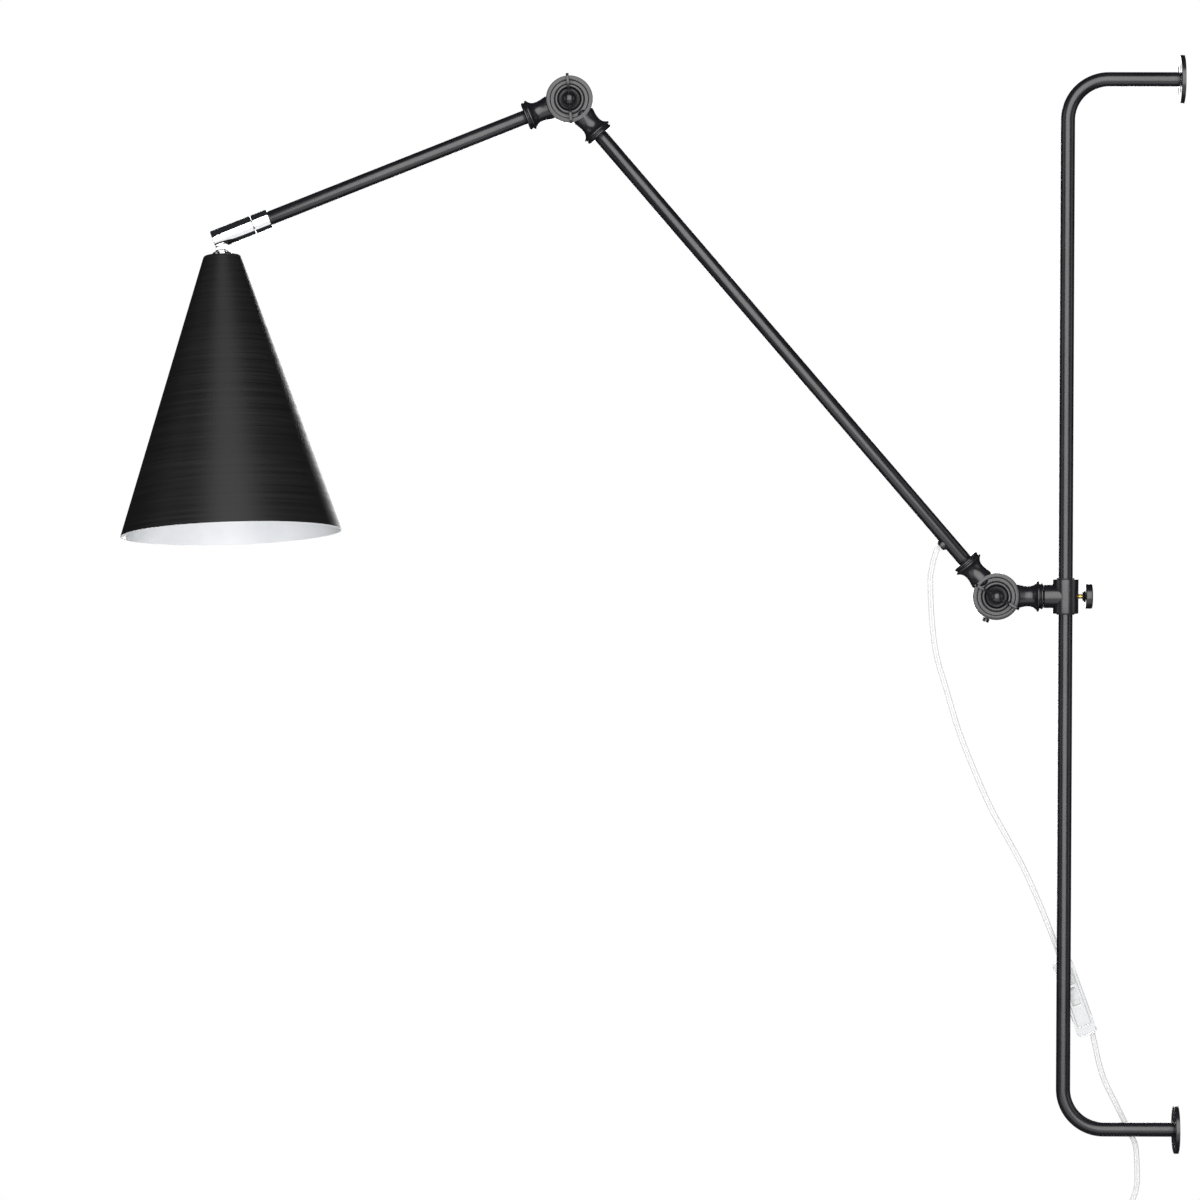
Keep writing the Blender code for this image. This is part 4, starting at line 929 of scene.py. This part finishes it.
def makeSwitch():
    spec = switchSpec
    middle = spec["top"] + switchDown * (spec["length"] / 2)
    here = turnedTo(middle, -xAxis, switchDown)
    halfLong, halfWide = spec["length"] / 2, spec["width"] / 2
    layer = spec["depth"] / 2 - gap / 2
    wall = 0.0026
    made = []
    for name, node, side in (("switchBase", "switch_base", -1), ("switchCover", "switch_cover", 1)):
        shell = slab(roundedOutline(halfLong, halfWide, 0.004), layer)
        roundOff(shell, 0.0007, 3, 60)
        ends = sorted((side * -(layer / 2 + 0.001), side * (layer / 2 - wall)))
        room = block((0.0085 - halfLong, wall - halfWide, ends[0]),
                     (halfLong - 0.0085, halfWide - wall, ends[1]))
        roundOff(room, 0.0012, 3, 60)
        shell = worked(shell, room)
        for edgeSide in (-1, 1):  # grip notches near both ends
            for k in range(5):
                along = halfLong - 0.0058 - k * 0.0022
                for end in (-1, 1):
                    place = Matrix.Translation((end * along, edgeSide * (halfWide + 0.0001), 0))
                    notch = bmesh.new()
                    bmesh.ops.create_cone(notch, cap_ends=True, segments=12, radius1=0.00055,
                                          radius2=0.00055, depth=0.02, matrix=place)
                    shell = worked(shell, notch)
        if side > 0:
            window = block((-0.0092, -0.0042, -0.01), (0.0092, 0.0042, 0.01))
            shell = worked(shell, roundOff(window, 0.0006, 2, 60))
        moved(shell, Matrix.Translation((0, 0, side * (gap / 2 + layer / 2))))
        made.append(keep(name, shell, "shell", "clamp", [node], here))
    base, top = 0.0022, 0.0098
    profile = [(-0.0072, base), (0.0072, base), (0.0085, top), (0.0060, top - 0.0007),
               (0.0030, top - 0.0012), (0.0, top - 0.0014), (-0.0030, top - 0.0012),
               (-0.0060, top - 0.0007), (-0.0085, top)]
    rocker = slab(profile, 0.0078)
    roundOff(rocker, 0.0005, 2, 50)
    upright = Matrix.Rotation(math.radians(90), 4, "X")
    pivot = Matrix.Translation((0, 0, spec["depth"] / 2 - 0.001))
    tip = Matrix.Rotation(math.radians(6), 4, "Y")
    turned = here @ pivot @ tip @ pivot.inverted() @ upright
    made.append(keep("switchRocker", rocker, "white", "switch_rocker", ["switch_rocker"], turned))
    terminal = block((-0.027, -0.0055, -0.0045), (-0.0125, 0.0055, 0.0030))
    roundOff(terminal, 0.0006, 2, 60)
    for x in (-0.0235, -0.0160):
        for y in (-0.0027, 0.0027):
            hole = rod(0.0015, 0.01, 0.0012, 16)
            terminal = worked(terminal, moved(hole, Matrix.Translation((x, y, 0))))
    made.append(keep("switchTerminals", terminal, "white", "clamp", ["switch_terminal_block"], here))
    return made


# tie, strain relief and plug
pinSpec = {"spacing": 0.0186, "radius": 0.0020, "reach": 0.019, "sunk": 0.006}


def makePlug():
    spec = plugSpec
    made = []
    matrix = turnedTo(spec["top"], xAxis, yAxis)
    wide, long_ = spec["width"] / 2, spec["length"]
    outline = [(0.0062, 0), (0.0070, -0.0030), (0.0080, -0.0060), (0.0096, -0.0100), (0.0117, -0.0145),
               (wide - 0.0032, -0.0190), (wide - 0.0010, -0.0228), (wide, -0.0262),
               (wide, 0.003 - long_), (wide - 0.0009, 0.0009 - long_), (wide - 0.003, -long_)]
    outline += [(-x, y) for x, y in reversed(outline)]
    body = slab(outline, spec["depth"])
    roundOff(body, 0.0022, 4, 60)
    for side in (-1, 1):  # finger grooves
        for k in range(4):
            groove = block((-0.0095, -0.0006, -0.0006), (0.0095, 0.0006, 0.0006))
            roundOff(groove, 0.0004, 2, 60)
            moved(groove, Matrix.Translation((0, -0.0235 - k * 0.0028, side * spec["depth"] / 2)))
            body = worked(body, groove)
    foot = {}
    for name, side in (("plugPinA", -1), ("plugPinB", 1)):
        place = spec["top"] + Vector((0, side * pinSpec["spacing"] / 2, -long_))
        foot[name] = turnedTo(place, -zAxis, xAxis)
        hole = rod(pinSpec["radius"] + gap, 0.01, -pinSpec["sunk"] - gap, 24)
        body = worked(body, moved(hole, matrix.inverted() @ foot[name]))
    made.append(keep("plugBody", body, "white", "pole_slider", ["plug_body"], matrix))
    for name, node in (("plugPinA", "plug_pin_a"), ("plugPinB", "plug_pin_b")):
        r, reach = pinSpec["radius"], pinSpec["reach"]
        pin = lathe([(0, reach), (r - 0.0008, reach)]
                    + arc((r - 0.0008, reach - 0.0010), 0.0008, 60, 0, 3)
                    + [(r, -pinSpec["sunk"]), (0, -pinSpec["sunk"])], 32)
        made.append(keep(name, pin, "steel", "pole_slider", [node], foot[name]))
    relief, profile = spec["relief"], []
    for k in range(8):  # rings that let the relief bend
        high = relief * (1 - k / 8)
        radius = 0.0031 + 0.0014 * k / 8
        profile += [(radius, high), (radius, high - 0.0013), (radius - 0.0006, high - 0.0016),
                    (radius - 0.0006, high - 0.0022)]
    cuff = lathe([(0, relief)] + profile + [(0.0045, 0.0002), (0.0045, 0.0), (0, 0.0)], 40)
    made.append(keep("plugRelief", cuff, "white", "pole_slider", ["plug_strain_relief"],
                     Matrix.Translation(spec["top"] + zAxis * gap)))
    return made


def makeTie():
    place = coilSpec["centre"] - zAxis * coilSpec["radius"]
    outer = roundedOutline(0.0092, 0.0092, 0.0035)
    inner = roundedOutline(0.0079, 0.0084, 0.0026)
    band = slab(outer, 0.005)
    roundOff(band, 0.0004, 2, 60)
    band = worked(band, slab(inner, 0.02))
    return keep("cordTie", band, "nylon", "pole_slider", ["cord_tie"], turnedTo(place, yAxis, xAxis))


switchPieces = makeSwitch()
plugPieces = makePlug()
tie = makeTie()
print("switch, plug and cords done")

# hidden CAD pieces that stay as they are
hidden = {"collar_stud": "steel", "lower_friction_washer": "fibre", "upper_friction_washer": "fibre",
          "long_arm_lead": "white", "forearm_lead": "white", "swivel_nipple": "steel",
          "shade_nipple": "steel", "tilt_pin": "steel"}
for node, look in hidden.items():
    nodes[node].data.materials.clear()
    nodes[node].data.materials.append(finishes[look])

# floor, room and lights
studio = {"floor": -0.70, "size": 3.4, "backdrop": 1.0, "dim": 0.03}


def makeFloor():
    bm = bmesh.new()
    bmesh.ops.create_grid(bm, x_segments=8, y_segments=8, size=studio["size"] / 2,
                          matrix=Matrix.Translation((0.0, -0.45, studio["floor"])))
    mesh = bpy.data.meshes.new("studioFloor")
    bm.to_mesh(mesh)
    bm.free()
    floor = bpy.data.objects.new("studioFloor", mesh)
    look = moulded("paleFloor", (0.78, 0.78, 0.77), (0.82, 0.82, 0.81), (0.6, 0.75), 3.0, 0.02)
    mesh.materials.append(look)
    floor.visible_glossy = False  # the chrome's underside stays dark, as over a deep floor
    bpy.context.scene.collection.objects.link(floor)


def makeRoom():
    world = bpy.data.worlds.new("studioRoom")
    world.use_nodes = True
    tree = world.node_tree
    dim = tree.nodes["Background"]
    dim.inputs["Color"].default_value = (0.80, 0.84, 0.92, 1)
    dim.inputs["Strength"].default_value = studio["dim"]
    bright = addNode(tree, "ShaderNodeBackground", None, {
        "Color": (1, 1, 1, 1), "Strength": studio["backdrop"]})
    rays = addNode(tree, "ShaderNodeLightPath")
    either = addNode(tree, "ShaderNodeMath", {"operation": "MAXIMUM"})
    mix = addNode(tree, "ShaderNodeMixShader")
    tree.links.new(rays.outputs["Is Camera Ray"], either.inputs[0])
    tree.links.new(rays.outputs["Is Transmission Ray"], either.inputs[1])
    tree.links.new(either.outputs[0], mix.inputs[0])
    tree.links.new(dim.outputs[0], mix.inputs[1])
    tree.links.new(bright.outputs[0], mix.inputs[2])
    tree.links.new(mix.outputs[0], tree.nodes["World Output"].inputs["Surface"])
    bpy.context.scene.world = world
    bpy.context.scene.view_settings.view_transform = "Standard"


frontX = 2.6  # how far the tall front lights stand from the lamp
lamps = [
    {"name": "frontUpper", "place": (frontX, -0.45, 2.02), "size": (3.0, 2.8), "power": 112,
     "aim": (0, -0.45, 2.02)},
    {"name": "frontLower", "place": (frontX, -0.45, 0.13), "size": (3.0, 0.86), "power": 35,
     "aim": (0, -0.45, 0.13)},
    {"name": "frontStrip", "place": (frontX, -0.45, 0.59), "size": (3.0, 0.05), "power": 0.4,
     "aim": (0, -0.45, 0.59), "colour": (1.0, 0.50, 0.22)},
    {"name": "floorBounce", "place": (1.35, -0.45, -0.34), "size": (2.0, 2.0), "power": 13,
     "aim": (1.35, -0.45, 1.0)},
    {"name": "topSoftbox", "place": (0.9, -0.6, 2.9), "size": (1.6, 1.6), "power": 12,
     "mirrored": False},
    {"name": "leftFill", "place": (0.9, -3.4, 0.9), "size": (1.2, 2.2), "power": 8},
    {"name": "backFill", "place": (-3.0, -0.45, 0.7), "size": (1.6, 1.6), "power": 45,
     "aim": (0, -0.45, 0.7)},
    {"name": "rightFill", "place": (0.9, 2.6, 0.9), "size": (1.2, 2.2), "power": 8},
]


def makeLamps():
    for lamp in lamps:
        data = bpy.data.lights.new(lamp["name"], "AREA")
        data.shape = "RECTANGLE"
        data.size, data.size_y = lamp["size"]
        data.energy = lamp["power"]
        data.color = lamp.get("colour", (1, 1, 1))
        holder = bpy.data.objects.new(lamp["name"], data)
        place, aim = Vector(lamp["place"]), Vector(lamp.get("aim", (0, -0.45, 0.5)))
        turned = (aim - place).to_track_quat("-Z", "Y").to_matrix().to_4x4()
        holder.matrix_world = Matrix.Translation(place) @ turned
        holder.visible_camera = False
        holder.visible_glossy = lamp.get("mirrored", True)
        bpy.context.scene.collection.objects.link(holder)


makeFloor()
makeRoom()
makeLamps()
print("scene done")
